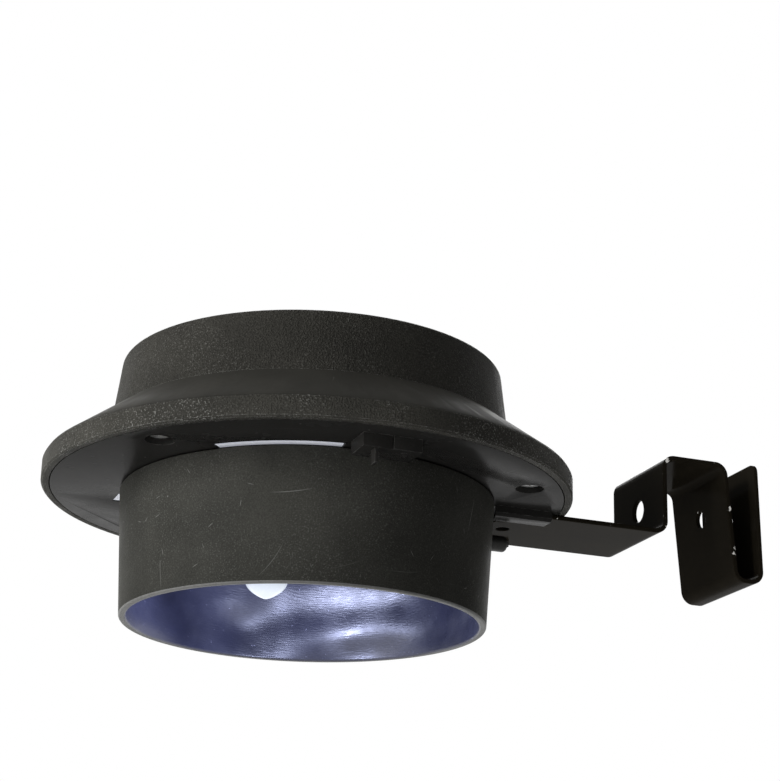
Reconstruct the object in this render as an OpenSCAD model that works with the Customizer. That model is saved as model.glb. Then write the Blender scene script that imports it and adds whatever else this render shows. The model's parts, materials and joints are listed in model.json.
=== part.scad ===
// Solar gutter light: a hat-shaped housing with a solar panel in its top, a round base plate with
// one LED under it, a shade that twists on round the LED, and a bent steel strip that hooks over
// the edge of a gutter.
// Millimetres. +X runs along the bracket arm, away from the lamp, and +Z is up. The origin is the
// middle of the hook's seat, on the underside of the bracket's top plate.

/* [Housing] */
// Outer diameter of the flange
flange_d = 115; // [110:1:125]
// Height of the flange's upright band
band_h = 4.5; // [4.2:0.1:6]
// Height of the flange's conical top above its underside
cone_h = 14.8; // [13:0.1:17]
// Outer diameter of the drum at its foot
drum_base_d = 86.8; // [85:0.1:92]
// Outer diameter of the drum at its top
drum_top_d = 83.8; // [83:0.1:85]
// Height of the whole housing
housing_h = 28.3; // [27:0.1:34]
// Wall of the cone and the drum
housing_wall = 1.8; // [1.4:0.1:2.2]
// Wall of the band round the base plate
band_wall = 1.7; // [1.4:0.1:2.2]
// Thickness of the drum's top
top_wall = 3; // [2.8:0.1:3.4]
// Rounding of the drum's top edge
top_round = 1.1; // [0.6:0.1:1.6]

/* [Solar panel] */
// Side of the square solar panel
panel_w = 54; // [48:0.5:55]
// Width of the ledge that the panel lies on
panel_ledge = 3.2; // [2:0.1:5]
// Thickness of the cell laminate
cell_t = 0.8; // [0.6:0.1:1]
// Thickness of the clear cover over the cell
cover_t = 0.6; // [0.5:0.1:0.8]
// Thickness of the foam frame under the cell
foam_t = 0.3; // [0.2:0.05:0.4]

/* [Base plate] */
// Thickness of the base plate
plate_t = 2.5; // [2.2:0.1:3]
// Thickness of the flat gasket on the base plate
gasket_t = 0.4; // [0.3:0.05:0.5]
// Width of the flat gasket
gasket_w = 2.4; // [1.8:0.1:2.8]
// Angle of the two front base screws from the arm
front_screw_angle = 35; // [30:1:42]
// Angle of the two rear base screws from the arm
rear_screw_angle = 57; // [52:1:62]
// Distance of the base screws from the plate's edge
screw_inset = 6.5; // [6.3:0.1:7]
// Diameter of the base screws' heads
screw_head_d = 5.5; // [5:0.1:5.8]
// Diameter of the base screws' shanks
screw_shank_d = 2.9; // [2.6:0.1:3.2]
// Length of the base screws under their heads
screw_len = 5.4; // [4.5:0.1:5.6]

/* [Shade] */
// Outer diameter of the shade at its top
shade_top_d = 81.2; // [78:0.1:84]
// Outer diameter of the shade at its mouth
shade_mouth_d = 78.2; // [75:0.1:80]
// Length of the shade below the base plate
shade_len = 27.9; // [27:0.1:40]
// Wall of the shade
shade_wall = 1.6; // [1.3:0.1:2]
// Gap between the shade's top edge and the base plate
shade_gap = 0.4; // [0.35:0.05:0.5]
// Diameter of the shade's thumb peg
peg_d = 3.6; // [3:0.1:4]
// Distance of the thumb peg's end from the lamp's axis
peg_reach = 47; // [45:0.1:50]

/* [Catches and slots] */
// Width of a catch block
catch_w = 12.3; // [11.5:0.1:14]
// Height of a catch block
catch_h = 2.7; // [2.5:0.1:3.4]
// Depth of a catch block, outwards from the shade
catch_depth = 9.5; // [8:0.1:11]
// Thickness of the shade's catch tabs
tab_t = 1.1; // [0.9:0.05:1.2]
// Width of the light slots beside the shade
slot_w = 3.1; // [2.6:0.1:3.6]
// Length of a light slot, as an angle
slot_angle = 37; // [30:1:40]

/* [LED] */
// Diameter of the LED
led_d = 9; // [8:0.1:10]
// Length of the LED below its holder's rim
led_drop = 10.9; // [8:0.1:12]
// Length of the LED holder below the base plate
holder_len = 12; // [10:0.1:15]
// Distance of the LED from the lamp's axis
led_offset = 8.5; // [7:0.1:10]

/* [Battery and board] */
// Diameter of the battery
battery_d = 14.5; // [14:0.1:15]
// Length of the battery without its nub
battery_len = 49.3; // [46:0.1:50]
// Distance of the battery from the lamp's axis
battery_x = 15.5; // [14.5:0.1:17]
// Width of the circuit board
board_w = 28; // [25:0.5:29]
// Length of the circuit board
board_len = 34; // [30:0.5:36]
// Thickness of the circuit board
board_t = 1.6; // [1:0.1:2]
// Diameter of the inner leads
lead_d = 1.3; // [1:0.1:1.6]

/* [Bracket] */
// Width of the steel strip
strip_w = 25; // [20:0.5:30]
// Thickness of the steel strip
strip_t = 1; // [0.8:0.1:1.2]
// Distance from the lamp's axis to the first upright
arm_reach = 80.5; // [75:0.5:110]
// Height of the hook's top plate above the base plate's underside
hook_h = 17.6; // [15:0.1:26]
// Width of the channel that goes over the gutter's edge, at its top
channel_w = 14.6; // [12:0.1:24]
// Lean of the middle upright
middle_lean = 4.7; // [3:0.1:6]
// Depth of the hook's lower bend below the base plate's underside
hook_drop = 10.3; // [8:0.1:20]
// Gap of the spring clip at its open end
clip_gap = 7.1; // [5.6:0.1:8]
// Lean of the outer upright
outer_lean = 1.2; // [0.5:0.1:2]
// Height of the outer upright's free end above the base plate's underside
outer_h = 18.5; // [16:0.1:24]
// Bend radius of the strip, at its middle
bend_r = 2.5; // [1.5:0.1:2.5]
// Diameter of the hole in the first upright
first_hole_d = 5.2; // [4:0.1:6]
// Diameter of the hole in the middle upright
middle_hole_d = 4; // [3:0.1:5]
// Diameter of the hole in the outer upright
outer_hole_d = 3.4; // [3:0.1:4]
// Diameter of the hole near the strip's inner end
tongue_hole_d = 3; // [2.4:0.1:3.6]

/* [Hidden] */
$fn = 64;
// Clearances
plate_clear = 0.25;
strip_clear = 0.08;
shade_clear = 0.35;
tab_clear = 0.1;
foot_clear = 0.15;
panel_clear = 0.2;
thread_clear = 0.05;
lay_clear = 0.1;
shank_clear = 0.15;
head_clear = 0.3;
end_clear = 0.15;
led_clear = 0.05;
knob_clear = 0.3;
switch_clear = 0.4;
// How far a cut runs past a face, and how far two joined shapes overlap
past = 1;
seam = 0.01;
root = 0.2;

// Housing and base plate radii
flange_r = flange_d / 2;
band_in_r = flange_r - band_wall;
plate_r = band_in_r - plate_clear;
gasket_out_r = plate_r - lay_clear;
gasket_in_r = gasket_out_r - gasket_w;
shoulder_lip = 0.3;
shoulder_r = gasket_in_r - shoulder_lip;
shoulder_z = plate_t + gasket_t;
screw_r = plate_r - screw_inset;
screw_angles = [rear_screw_angle, 180 - rear_screw_angle, 180 + front_screw_angle,
                -front_screw_angle];
head_h = 1.2;
head_round = 0.6;
head_sink = 1.1;
head_recess = [3, 0.7];
recess_w = 0.7;
bore_depth = head_h + head_sink;
pilot_spare = 0.4;
boss_r = 3;
collar_r = 3.4;
collar_h = 1;
band_edge = 0.4;
drum_lean = atan((drum_base_d - drum_top_d) / 2 / (housing_h - cone_h));
cone_slope = (cone_h - band_h) / (flange_r - drum_base_d / 2);
cone_skin = housing_wall * sqrt(1 + cone_slope * cone_slope);

// Solar panel stack, from the ledge up
ledge_floor = 1.1;
foam_inset = 0.4;
ledge_z = housing_h - top_wall + ledge_floor;
cell_z = ledge_z + foam_t;
cover_z = cell_z + cell_t;
window_w = panel_w - 2 * panel_ledge;

// Shade, catches and slots
shade_top_r = shade_top_d / 2;
shade_mouth_r = shade_mouth_d / 2;
mouth_round = 0.5;
spigot_h = 2.4;
spigot_wall = 1.6;
spigot_r = shade_top_r - shade_wall - shade_clear;
catch_in_r = shade_top_r + shade_clear;
catch_out_r = catch_in_r + catch_depth;
catch_side = 0.95;
catch_left = catch_side - catch_w / 2;
catch_groove = [0.3, 0.4];
pocket_depth = 4.2;
catch_start = 2.2;
pocket_wall = 1.5;
tab_top = -shade_gap - tab_clear;
tab_bottom = tab_top - tab_t;
pocket_floor = tab_bottom - tab_clear;
tab_reach = catch_in_r + pocket_depth - shade_clear;
tab_angle = 10.7;
tab_from = asin((catch_left + pocket_wall + shade_clear) / tab_reach);
slot_edge = 0.55;
slot_in_r = spigot_r + slot_edge;
slot_out_r = slot_in_r + slot_w;
slot_end = -8;
foot_z = 0.2;
foot_turn = 0.3;
foot_root = 0.5;
stop_rib_t = 0.7;
stop_rib_h = 2.9;
stop_rib_at = [6.4, 2.7];
stop_rib_edge = 0.6;
bump_r = 0.7;
bump_at = [2.4, 3.2];
peg_z = -(catch_h + lay_clear + peg_d / 2);
peg_round = 0.9;
peg_root = shade_top_r - shade_wall / 2;
peg_len = peg_reach - peg_root;
vent_corner = [-38.9, 19.1];
vent_size = [1.8, 5.9];

// Carrier, LED, switch, board and battery
carrier_t = 1.4;
stud_rise = 0.9;
stud_floor = 0.9;
carrier_z = plate_t + stud_rise;
carrier_top = carrier_z + carrier_t;
stud_r = 2.4;
carrier_r = slot_out_r + stud_r;
stud_spots = [[-24, 24], [-24, -24], [30, 0]];
led_x = -led_offset;
led_r = led_d / 2;
led_dome = 5.5;
led_seat = 3;
holder_wall = 1.1;
holder_taper = 0.3;
holder_r = led_r + holder_wall;
neck_r = 4.2;
lead_hole_r = 2.1;
led_pitch = 2.54;
led_leg = 0.5;
switch_at = [led_x, 13.4];
switch_size = [8.6, 3.8, 3.6];
switch_travel = 2;
knob_size = [2, 1.8];
knob_drop = 1.6;
knob_in = 1.3;
knob_slot = [knob_size.x + switch_travel + 2 * knob_clear, knob_size.y + 2 * knob_clear];
pin_w = 0.5;
pin_pitch = 2;
board_gap = 4;
board_z = carrier_top + board_gap;
board_top = board_z + board_t;
tray_wall = 1.2;
tray_in_w = battery_d + 2 * end_clear;
contact_t = 0.5;
contact_w = 9;
tag_size = [2.4, 5];
tag_at = [-3, 6.5];
nub_h = 1.2;
nub_r = 2.75;
cell_round = 0.5;
contact_y = (battery_len + nub_h) / 2 + led_clear + contact_t / 2;
tray_in_len = 2 * (contact_y + contact_t / 2 + led_clear);
tray_w = tray_in_w + 2 * tray_wall;
tray_len = tray_in_len + 2 * tray_wall;
tray_h = 12.4;
tray_side_h = 6.8;
battery_z = carrier_top + tray_wall + lay_clear + battery_d / 2;
board_side_gap = 1.5;
board_x1 = battery_x - tray_w / 2 - board_side_gap;
board_x0 = board_x1 - board_w;
board_inset = 3;
board_fix = [for (side = [1, -1]) [board_x0 + board_inset, side * (board_len / 2 - board_inset)]];
board_grip = 3;
parts_x = board_x0 + board_w * 0.45;
small_screw_r = 1;
small_head_r = 2;
small_head_h = 1.1;
small_recess = [2.2, 0.6];
chip_size = [5, 4, 1.5];
chip_lift = 0.2;
chip_pitch = 1.27;
chip_foot = [0.4, 0.9, 0.5];
coil_r = 1.9;
coil_half = 4.5;
coil_round = 0.7;
coil_y = -8;
diode_r = 1.35;
diode_len = 5.2;
diode_y = 8;
panel_lead_at = [-10, 5];
panel_lead_land = [6, 4];
panel_lead_pull = [8, 9];
battery_lead_rise = 1.5;
battery_lead_pull = [7, 12];

// Bracket, as the middle line of the strip in its side view
end_stop = [0.9, 8, 1.8];
strip_end_x = catch_in_r + end_stop.x + end_clear;
arm_z = -strip_clear - strip_t / 2;
first_x = arm_reach + strip_t / 2;
top_z = hook_h - strip_t / 2;
middle_x = arm_reach + strip_t + channel_w + strip_t / 2;
low_z = -hook_drop + strip_t / 2;
outer_top_x = middle_x + strip_t + clip_gap;
middle_low_x = middle_x + (top_z - low_z) * tan(middle_lean);
outer_low_x = outer_top_x + (outer_h - low_z) * tan(outer_lean);
strip_line = [[strip_end_x, arm_z], [first_x, arm_z], [first_x, top_z], [middle_x, top_z],
              [middle_low_x, low_z], [outer_low_x, low_z], [outer_top_x, outer_h]];
hole_z = 7.2;
tongue_inset = 4.2;
tongue_hole_x = strip_end_x + tongue_inset;
tongue_pilot_floor = 0.8;
hole_cut = 5;
end_round = 2;
corner_run = 3;

// Rails that hold the strip under the base plate
rail_in_x = 37;
rail_out_x = 52;
rail_h = 2.2;
rail_wall = 1.5;
rail_lip = 3;
rail_chamfer = 0.7;
rail_in_y = strip_w / 2 + end_clear;

// Middle of the hook's seat, which is the origin
seat_x = arm_reach + strip_t + channel_w / 2;
seat_z = hook_h - strip_t;

// Height of the cone's inner face at a distance from the axis
function inner_cone_z(r) = band_h + cone_slope * (flange_r - r) - cone_skin;

// Points of an arc in a profile, from one angle to another
function arc(c, r, a0, a1, n = 6) =
    [for (i = [0:n]) c + r * [cos(a0 + (a1 - a0) * i / n), sin(a0 + (a1 - a0) * i / n)]];

// Places a lamp piece, made round the lamp's axis, in the part's frame
module in_place() { translate([-seat_x, 0, -seat_z]) children(); }

// Repeats a child turned to each angle round the lamp's axis
module around(angles) { for (a = angles) rotate([0, 0, a]) children(); }

// Wedge of a ring, from one angle to another
module ring_wedge(r_in, r_out, a0, a1, z, h) {
    translate([0, 0, z]) rotate([0, 0, a0]) rotate_extrude(angle = a1 - a0, $fn = 96)
        translate([r_in, 0]) square([r_out - r_in, h]);
}

// Outside of the housing as one solid
module housing_form() {
    rotate_extrude($fn = 128) polygon(concat(
        [[0, 0], [flange_r - band_edge, 0], [flange_r, band_edge], [flange_r, band_h - band_edge],
         [flange_r - band_edge, band_h + cone_slope * band_edge], [drum_base_d / 2, cone_h]],
        arc([drum_top_d / 2 - top_round, housing_h - top_round], top_round, drum_lean, 90),
        [[0, housing_h]]));
}

// Hollow of the housing, open below, with the shoulder that presses on the gasket
module housing_hollow() {
    rotate_extrude($fn = 128) polygon([
        [0, -past], [band_in_r, -past], [band_in_r, shoulder_z], [shoulder_r, shoulder_z],
        [shoulder_r, inner_cone_z(shoulder_r)],
        [drum_base_d / 2 - housing_wall, inner_cone_z(drum_base_d / 2 - housing_wall)],
        [drum_top_d / 2 - housing_wall, housing_h - top_wall], [0, housing_h - top_wall]]);
}

// Hat-shaped top housing with its screw bosses and the recess for the solar panel
module top_housing() {
    color("#2b2c28") in_place() difference() {
        union() {
            difference() { housing_form(); housing_hollow(); }
            intersection() {
                housing_form();
                around(screw_angles) translate([screw_r, 0, plate_t + collar_h])
                    cylinder(r = boss_r, h = cone_h);
            }
        }
        around(screw_angles) translate([screw_r, 0, bore_depth])
            cylinder(d = screw_shank_d + 2 * thread_clear, h = screw_len + pilot_spare);
        translate([-panel_w / 2 - panel_clear, -panel_w / 2 - panel_clear, ledge_z])
            cube([panel_w + 2 * panel_clear, panel_w + 2 * panel_clear, top_wall]);
        translate([-window_w / 2, -window_w / 2, housing_h - top_wall - past])
            cube([window_w, window_w, top_wall + 2 * past]);
    }
}

// Clear square cover over the solar cell
module panel_cover() {
    color("#9fb4c4", 0.5) in_place()
        translate([-panel_w / 2, -panel_w / 2, cover_z]) cube([panel_w, panel_w, cover_t]);
}

// Solar cell laminate
module solar_cell() {
    color("#141c33") in_place()
        translate([-panel_w / 2, -panel_w / 2, cell_z]) cube([panel_w, panel_w, cell_t]);
}

// Foam frame between the laminate and its ledge
module panel_foam() {
    color("#222222") in_place() translate([0, 0, ledge_z]) difference() {
        translate([-panel_w / 2, -panel_w / 2, 0]) cube([panel_w, panel_w, foam_t]);
        translate([-window_w / 2 - foam_inset, -window_w / 2 - foam_inset, -past])
            cube([window_w + 2 * foam_inset, window_w + 2 * foam_inset, foam_t + 2 * past]);
    }
}

// Catch block of the base plate, outwards along +X, with the pocket for a tab of the shade
module catch_block() {
    difference() {
        translate([catch_in_r + catch_start, catch_left, -catch_h])
            cube([catch_depth - catch_start, catch_w, catch_h + plate_t / 2]);
        translate([0, catch_left + pocket_wall, pocket_floor])
            cube([catch_in_r + pocket_depth, catch_w, -pocket_floor]);
        translate([catch_out_r - catch_groove.x, catch_side - catch_groove.y / 2, -catch_h - past])
            cube([past, catch_groove.y, catch_h + past]);
    }
    translate([catch_in_r + stop_rib_at.x, catch_left + stop_rib_at.y, -catch_h - stop_rib_h])
        cube([catch_depth - stop_rib_at.x - stop_rib_edge, stop_rib_t, stop_rib_h + root]);
    translate([catch_out_r - bump_at.x, catch_side + bump_at.y, -catch_h]) sphere(r = bump_r, $fn = 24);
}

// Pair of rails, open outwards, that the bracket's strip slides into, and the stop at their inner end
module strip_rails() {
    difference() {
        for (side = [-1, 1]) scale([1, side, 1])
            translate([rail_in_x, 0, 0]) rotate([90, 0, 90])
                linear_extrude(height = rail_out_x - rail_in_x) polygon([
                    [rail_in_y, plate_t / 2], [rail_in_y, 2 * arm_z], [rail_in_y - rail_lip, 2 * arm_z],
                    [rail_in_y - rail_lip, -rail_h], [rail_in_y + rail_wall - rail_chamfer, -rail_h],
                    [rail_in_y + rail_wall, -rail_h + rail_chamfer], [rail_in_y + rail_wall, plate_t / 2]]);
        translate([0, 0, -rail_h - past]) cylinder(r = catch_in_r, h = rail_h + past, $fn = 128);
    }
    translate([catch_in_r, -end_stop.y / 2, -end_stop.z])
        cube([end_stop.x, end_stop.y, end_stop.z + plate_t / 2]);
}

// Small rectangular opening beside the shade, opposite the arm
module vent(grow, z, h) {
    translate([vent_corner.x - grow, vent_corner.y - vent_size.y - grow, z])
        cube([vent_size.x + 2 * grow, vent_size.y + 2 * grow, h]);
}

// Round base plate with its spigot, catches, rails, slots and collared screw holes
module base_plate() {
    color("#3a3b38") in_place() difference() {
        union() {
            cylinder(r = plate_r, h = plate_t, $fn = 128);
            translate([0, 0, -spigot_h]) difference() {
                cylinder(r = spigot_r, h = spigot_h + past, $fn = 128);
                translate([0, 0, -past])
                    cylinder(r = spigot_r - spigot_wall, h = spigot_h + past, $fn = 128);
            }
            around([-90, 90]) catch_block();
            strip_rails();
            for (p = stud_spots) translate([p.x, p.y, plate_t / 2])
                cylinder(r = stud_r, h = carrier_z - plate_t / 2);
            around(screw_angles) translate([screw_r, 0, plate_t / 2])
                cylinder(r = collar_r, h = plate_t / 2 + collar_h);
        }
        around(screw_angles) translate([screw_r, 0, 0]) {
            translate([0, 0, -past]) cylinder(d = screw_head_d + 2 * head_clear, h = bore_depth + past);
            translate([0, 0, -past])
                cylinder(d = screw_shank_d + 2 * shank_clear, h = plate_t + collar_h + 2 * past);
        }
        around([-90, 90])
            ring_wedge(slot_in_r, slot_out_r, slot_end - slot_angle, slot_end, -past, plate_t + 2 * past);
        vent(0, -past, plate_t + 2 * past);
        translate([led_x, 0, -past]) cylinder(r = neck_r + lay_clear, h = plate_t + 2 * past);
        translate([switch_at.x, switch_at.y, plate_t / 2])
            cube([knob_slot.x, knob_slot.y, plate_t + past], center = true);
        for (p = stud_spots) translate([p.x, p.y, stud_floor]) cylinder(r = small_screw_r, h = carrier_z);
        translate([tongue_hole_x, 0, -past])
            cylinder(r = small_screw_r, h = plate_t - tongue_pilot_floor + past);
    }
}

// Flat gasket between the base plate and the housing's shoulder
module base_gasket() {
    color("#151515") in_place() translate([0, 0, plate_t]) difference() {
        cylinder(r = gasket_out_r, h = gasket_t, $fn = 128);
        translate([0, 0, -past]) cylinder(r = gasket_in_r, h = gasket_t + 2 * past, $fn = 128);
    }
}

// Cross recess of a screw head, cut upwards from the head's lower face
module cross_recess(size) {
    for (a = [0, 90]) rotate([0, 0, a])
        translate([-size[0] / 2, -recess_w / 2, -past]) cube([size[0], recess_w, size[1] + past]);
}

// The four screws that hold the base plate to the housing
module base_screws() {
    color("#c9cbcc") in_place() around(screw_angles) translate([screw_r, 0, head_sink]) difference() {
        union() {
            rotate_extrude() polygon(concat([[0, 0]],
                arc([screw_head_d / 2 - head_round, head_round], head_round, -90, 0),
                [[screw_head_d / 2, head_h], [0, head_h]]));
            cylinder(d = screw_shank_d, h = head_h + screw_len);
        }
        cross_recess(head_recess);
    }
}

// Round shade with its two catch tabs and its thumb peg
module shade() {
    color("#2f302d") in_place() {
        rotate_extrude($fn = 128) polygon(concat(
            [[shade_top_r - shade_wall, -shade_gap]],
            arc([shade_mouth_r - shade_wall + mouth_round, -shade_len + mouth_round], mouth_round,
                180, 270),
            arc([shade_mouth_r - mouth_round, -shade_len + mouth_round], mouth_round, 270, 360),
            [[shade_top_r, -shade_gap]]));
        around([-90, 90])
            ring_wedge(peg_root, tab_reach, tab_from, tab_from + tab_angle, tab_bottom, tab_t);
        translate([peg_root, 0, peg_z]) rotate([0, 90, 0]) rotate_extrude() polygon(concat(
            [[0, 0], [peg_d / 2, 0]],
            arc([peg_d / 2 - peg_round, peg_len - peg_round], peg_round, 0, 90),
            [[0, peg_len]]));
    }
}

// Post that carries the LED below the base plate
module led_holder() {
    color("#2c2d2a") in_place() translate([led_x, 0, 0]) difference() {
        union() {
            translate([0, 0, -holder_len])
                cylinder(r1 = holder_r - holder_taper, r2 = holder_r, h = holder_len);
            cylinder(r = neck_r, h = carrier_z - lay_clear);
        }
        translate([0, 0, -holder_len - past]) cylinder(r = led_r + led_clear, h = led_seat + past);
        translate([0, 0, -holder_len - past])
            cylinder(r = lead_hole_r, h = holder_len + carrier_z + 2 * past);
    }
}

// Body of the LED with its drawn-out dome, pointing down
module led_lamp() {
    color("#e8eefc") in_place() translate([led_x, 0, -holder_len - led_drop])
        rotate_extrude() polygon(concat(
        [for (i = [0:12]) [led_r * sin(90 * i / 12), led_dome * (1 - cos(90 * i / 12))]],
        [[led_r, led_drop + led_seat], [0, led_drop + led_seat]]));
}

// The LED's two legs, up to the board
module led_legs() {
    leg_z = -holder_len + led_seat;
    color("#c4c6c8") in_place() for (side = [-1, 1])
        translate([led_x - led_leg / 2, side * led_pitch / 2 - led_leg / 2, leg_z])
            cube([led_leg, led_leg, board_z - leg_z]);
}

// White carrier inside the housing, whose feet fill the light slots of the base plate
module inner_carrier() {
    color("#f2f3f5") in_place() difference() {
        union() {
            translate([0, 0, carrier_z]) cylinder(r = carrier_r, h = carrier_t, $fn = 96);
            around([-90, 90]) ring_wedge(slot_in_r + foot_clear, slot_out_r - foot_clear,
                slot_end - slot_angle + foot_turn, slot_end - foot_turn, foot_z,
                carrier_z - foot_z + foot_root);
            vent(-foot_clear, foot_z, carrier_z - foot_z + foot_root);
            for (p = board_fix) translate([p.x, p.y, carrier_z])
                cylinder(r = stud_r, h = board_z - carrier_z);
        }
        for (p = stud_spots) translate([p.x, p.y, carrier_z - past])
            cylinder(r = small_screw_r + lay_clear, h = 4 * past);
        for (p = board_fix) translate([p.x, p.y, carrier_top])
            cylinder(r = small_screw_r, h = board_gap + past);
        translate([led_x, 0, carrier_z - past]) cylinder(r = lead_hole_r, h = 4 * past);
        translate([switch_at.x, switch_at.y, carrier_z])
            cube([switch_size.x + 2 * switch_clear, switch_size.y + 2 * switch_clear, 4 * past],
                center = true);
    }
}

// Small screw with a cross recess, head up, its head's lower face at the origin
module small_screw(shank) {
    difference() {
        union() {
            cylinder(r = small_head_r, h = small_head_h, $fn = 32);
            translate([0, 0, -shank]) cylinder(r = small_screw_r - thread_clear, h = shank + root, $fn = 32);
        }
        translate([0, 0, small_head_h]) mirror([0, 0, 1]) cross_recess(small_recess);
    }
}

// Screws that hold the carrier to the base plate
module carrier_screws() {
    color("#b9bbbd") in_place() for (p = stud_spots) translate([p.x, p.y, carrier_top])
        small_screw(carrier_top - stud_floor - pilot_spare);
}

// Circuit board on its two posts
module circuit_board() {
    color("#1f5a36") in_place() difference() {
        translate([board_x0, -board_len / 2, board_z]) cube([board_w, board_len, board_t]);
        for (p = board_fix) translate([p.x, p.y, board_z - past])
            cylinder(r = small_screw_r + lay_clear, h = board_t + 2 * past);
    }
}

// Screws that hold the circuit board
module board_screws() {
    color("#b9bbbd") in_place() for (p = board_fix) translate([p.x, p.y, board_top])
        small_screw(board_t + board_grip);
}

// Charging chip on the board, with its eight feet
module driver_chip() {
    foot_y = chip_size.y / 2 + chip_foot.y / 2 - foot_clear;
    color("#1a1a1c") in_place() translate([parts_x, 0, board_top]) {
        translate([-chip_size.x / 2, -chip_size.y / 2, chip_lift]) cube(chip_size);
        for (i = [-1.5:1.5], side = [-1, 1])
            translate([chip_pitch * i - chip_foot.x / 2, side * foot_y - chip_foot.y / 2, 0]) cube(chip_foot);
    }
}

// Wound inductor, lying on the board
module inductor() {
    color("#3f7a4a") in_place() translate([parts_x, coil_y, board_top + coil_r])
        rotate([0, 90, 0]) rotate_extrude($fn = 48) polygon(concat(
            [[0, -coil_half]], arc([coil_r - coil_round, coil_round - coil_half], coil_round, -90, 0),
            arc([coil_r - coil_round, coil_half - coil_round], coil_round, 0, 90), [[0, coil_half]]));
}

// Charge diode, lying on the board
module charge_diode() {
    color("#1d1d1f") in_place() translate([parts_x - diode_len / 2, diode_y, board_top + diode_r])
        rotate([0, 90, 0]) cylinder(r = diode_r, h = diode_len, $fn = 48);
}

// Open tray that holds the battery
module battery_tray() {
    color("#e6e7e8") in_place() translate([battery_x, 0, carrier_top]) difference() {
        translate([-tray_w / 2, -tray_len / 2, 0]) cube([tray_w, tray_len, tray_h]);
        translate([-tray_in_w / 2, -tray_in_len / 2, tray_wall]) cube([tray_in_w, tray_in_len, tray_h]);
        translate([-tray_w, -tray_len / 4, tray_side_h]) cube([2 * tray_w, tray_len / 2, tray_h]);
    }
}

// Rechargeable cell with its nub
module battery() {
    start = -(battery_len + nub_h) / 2;
    color("#2f7d4f") in_place() translate([battery_x, start, battery_z]) rotate([-90, 0, 0]) {
        rotate_extrude() polygon(concat([[0, 0]],
            arc([battery_d / 2 - cell_round, cell_round], cell_round, -90, 0),
            arc([battery_d / 2 - cell_round, battery_len - cell_round], cell_round, 0, 90),
            [[0, battery_len]]));
        translate([0, 0, battery_len - root]) cylinder(r = nub_r, h = nub_h + root);
    }
}

// Contact plate at one end of the tray, with its solder tag
module contact(side) {
    color("#cfd1d3") in_place() translate([battery_x, side * contact_y, battery_z]) {
        cube([contact_w, contact_t, contact_w], center = true);
        translate([tag_at.x, 0, tag_at.y]) cube([tag_size.x, contact_t, tag_size.y], center = true);
    }
}

module positive_contact() { contact(1); }

module negative_contact() { contact(-1); }

// Body of the slide switch, with its three pins
module switch_body() {
    color("#b7babd") in_place() translate([switch_at.x, switch_at.y, 0]) difference() {
        union() {
            translate([-switch_size.x / 2, -switch_size.y / 2, plate_t]) cube(switch_size);
            for (i = [-1:1])
                translate([pin_pitch * i - pin_w / 2, -pin_w / 2, plate_t + switch_size.z - root])
                cube([pin_w, pin_w, board_z - plate_t - switch_size.z + root]);
        }
        translate([0, 0, plate_t]) cube([knob_slot.x, knob_slot.y, 2 * knob_in + knob_clear], center = true);
    }
}

// Knob of the slide switch, at the off end of its travel
module switch_slider() {
    knob_x = switch_at.x - (switch_travel + knob_size.x) / 2;
    color("#1c1c1c") in_place() translate([knob_x, switch_at.y - knob_size.y / 2, -knob_drop])
            cube([knob_size.x, knob_size.y, plate_t + knob_in + knob_drop]);
}

// Point on a cubic curve, and its direction
function curve(p, t) = pow(1 - t, 3) * p[0] + 3 * t * pow(1 - t, 2) * p[1]
    + 3 * t * t * (1 - t) * p[2] + pow(t, 3) * p[3];
function heading(p, t) = let (d = pow(1 - t, 2) * (p[1] - p[0]) + 2 * t * (1 - t) * (p[2] - p[1])
    + t * t * (p[3] - p[2])) d / norm(d);

// Round lead along a cubic curve, with side as a direction that the lead never points in
module lead(p, side, rings = 18, sides = 8) {
    points = [for (i = [0:rings], j = [0:sides - 1]) let (t = i / rings, h = heading(p, t),
        u = cross(h, side) / norm(cross(h, side)), v = cross(h, u), a = 360 * j / sides)
        curve(p, t) + lead_d / 2 * (cos(a) * u + sin(a) * v)];
    walls = [for (i = [0:rings - 1], j = [0:sides - 1]) let (k = (j + 1) % sides)
        [i * sides + j, i * sides + k, (i + 1) * sides + k, (i + 1) * sides + j]];
    first = [for (j = [0:sides - 1]) sides - 1 - j];
    last = [for (j = [0:sides - 1]) rings * sides + j];
    polyhedron(points, concat([first], walls, [last]), convexity = 4);
}

// Lead from the panel's underside down to the board
module panel_lead(side) {
    from = [panel_lead_at.x, side * panel_lead_at.y, cell_z];
    to = [board_x0 + panel_lead_land.x, side * panel_lead_land.y, board_top];
    lead([from, from - [0, 0, panel_lead_pull[0]], to + [0, 0, panel_lead_pull[1]], to], [0, 1, 0]);
}

module panel_lead_red() { color("#b3261e") in_place() panel_lead(1); }

module panel_lead_black() { color("#161616") in_place() panel_lead(-1); }

// Lead from a contact's tag over the tray's wall down to the board
module battery_lead(side) {
    from = [battery_x + tag_at.x, side * (contact_y - contact_t / 2),
            battery_z + tag_at.y + battery_lead_rise];
    to = [board_x1 - board_inset, side * (board_len / 2 - board_inset), board_top];
    pull = [0, side * battery_lead_pull[0], 0];
    lead([from, from - pull, to + [0, 0, battery_lead_pull[1]], to], [1, 0.2, 0.1]);
}

module battery_lead_red() { color("#b3261e") in_place() battery_lead(1); }

module battery_lead_black() { color("#161616") in_place() battery_lead(-1); }

// Direction from one point to another
function aim(a, b) = (b - a) / norm(b - a);

// Straight stretch of the strip's side view
module strip_run(a, b) {
    d = b - a;
    translate(a) rotate(atan2(d.y, d.x)) translate([0, -strip_t / 2]) square([norm(d), strip_t]);
}

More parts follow.
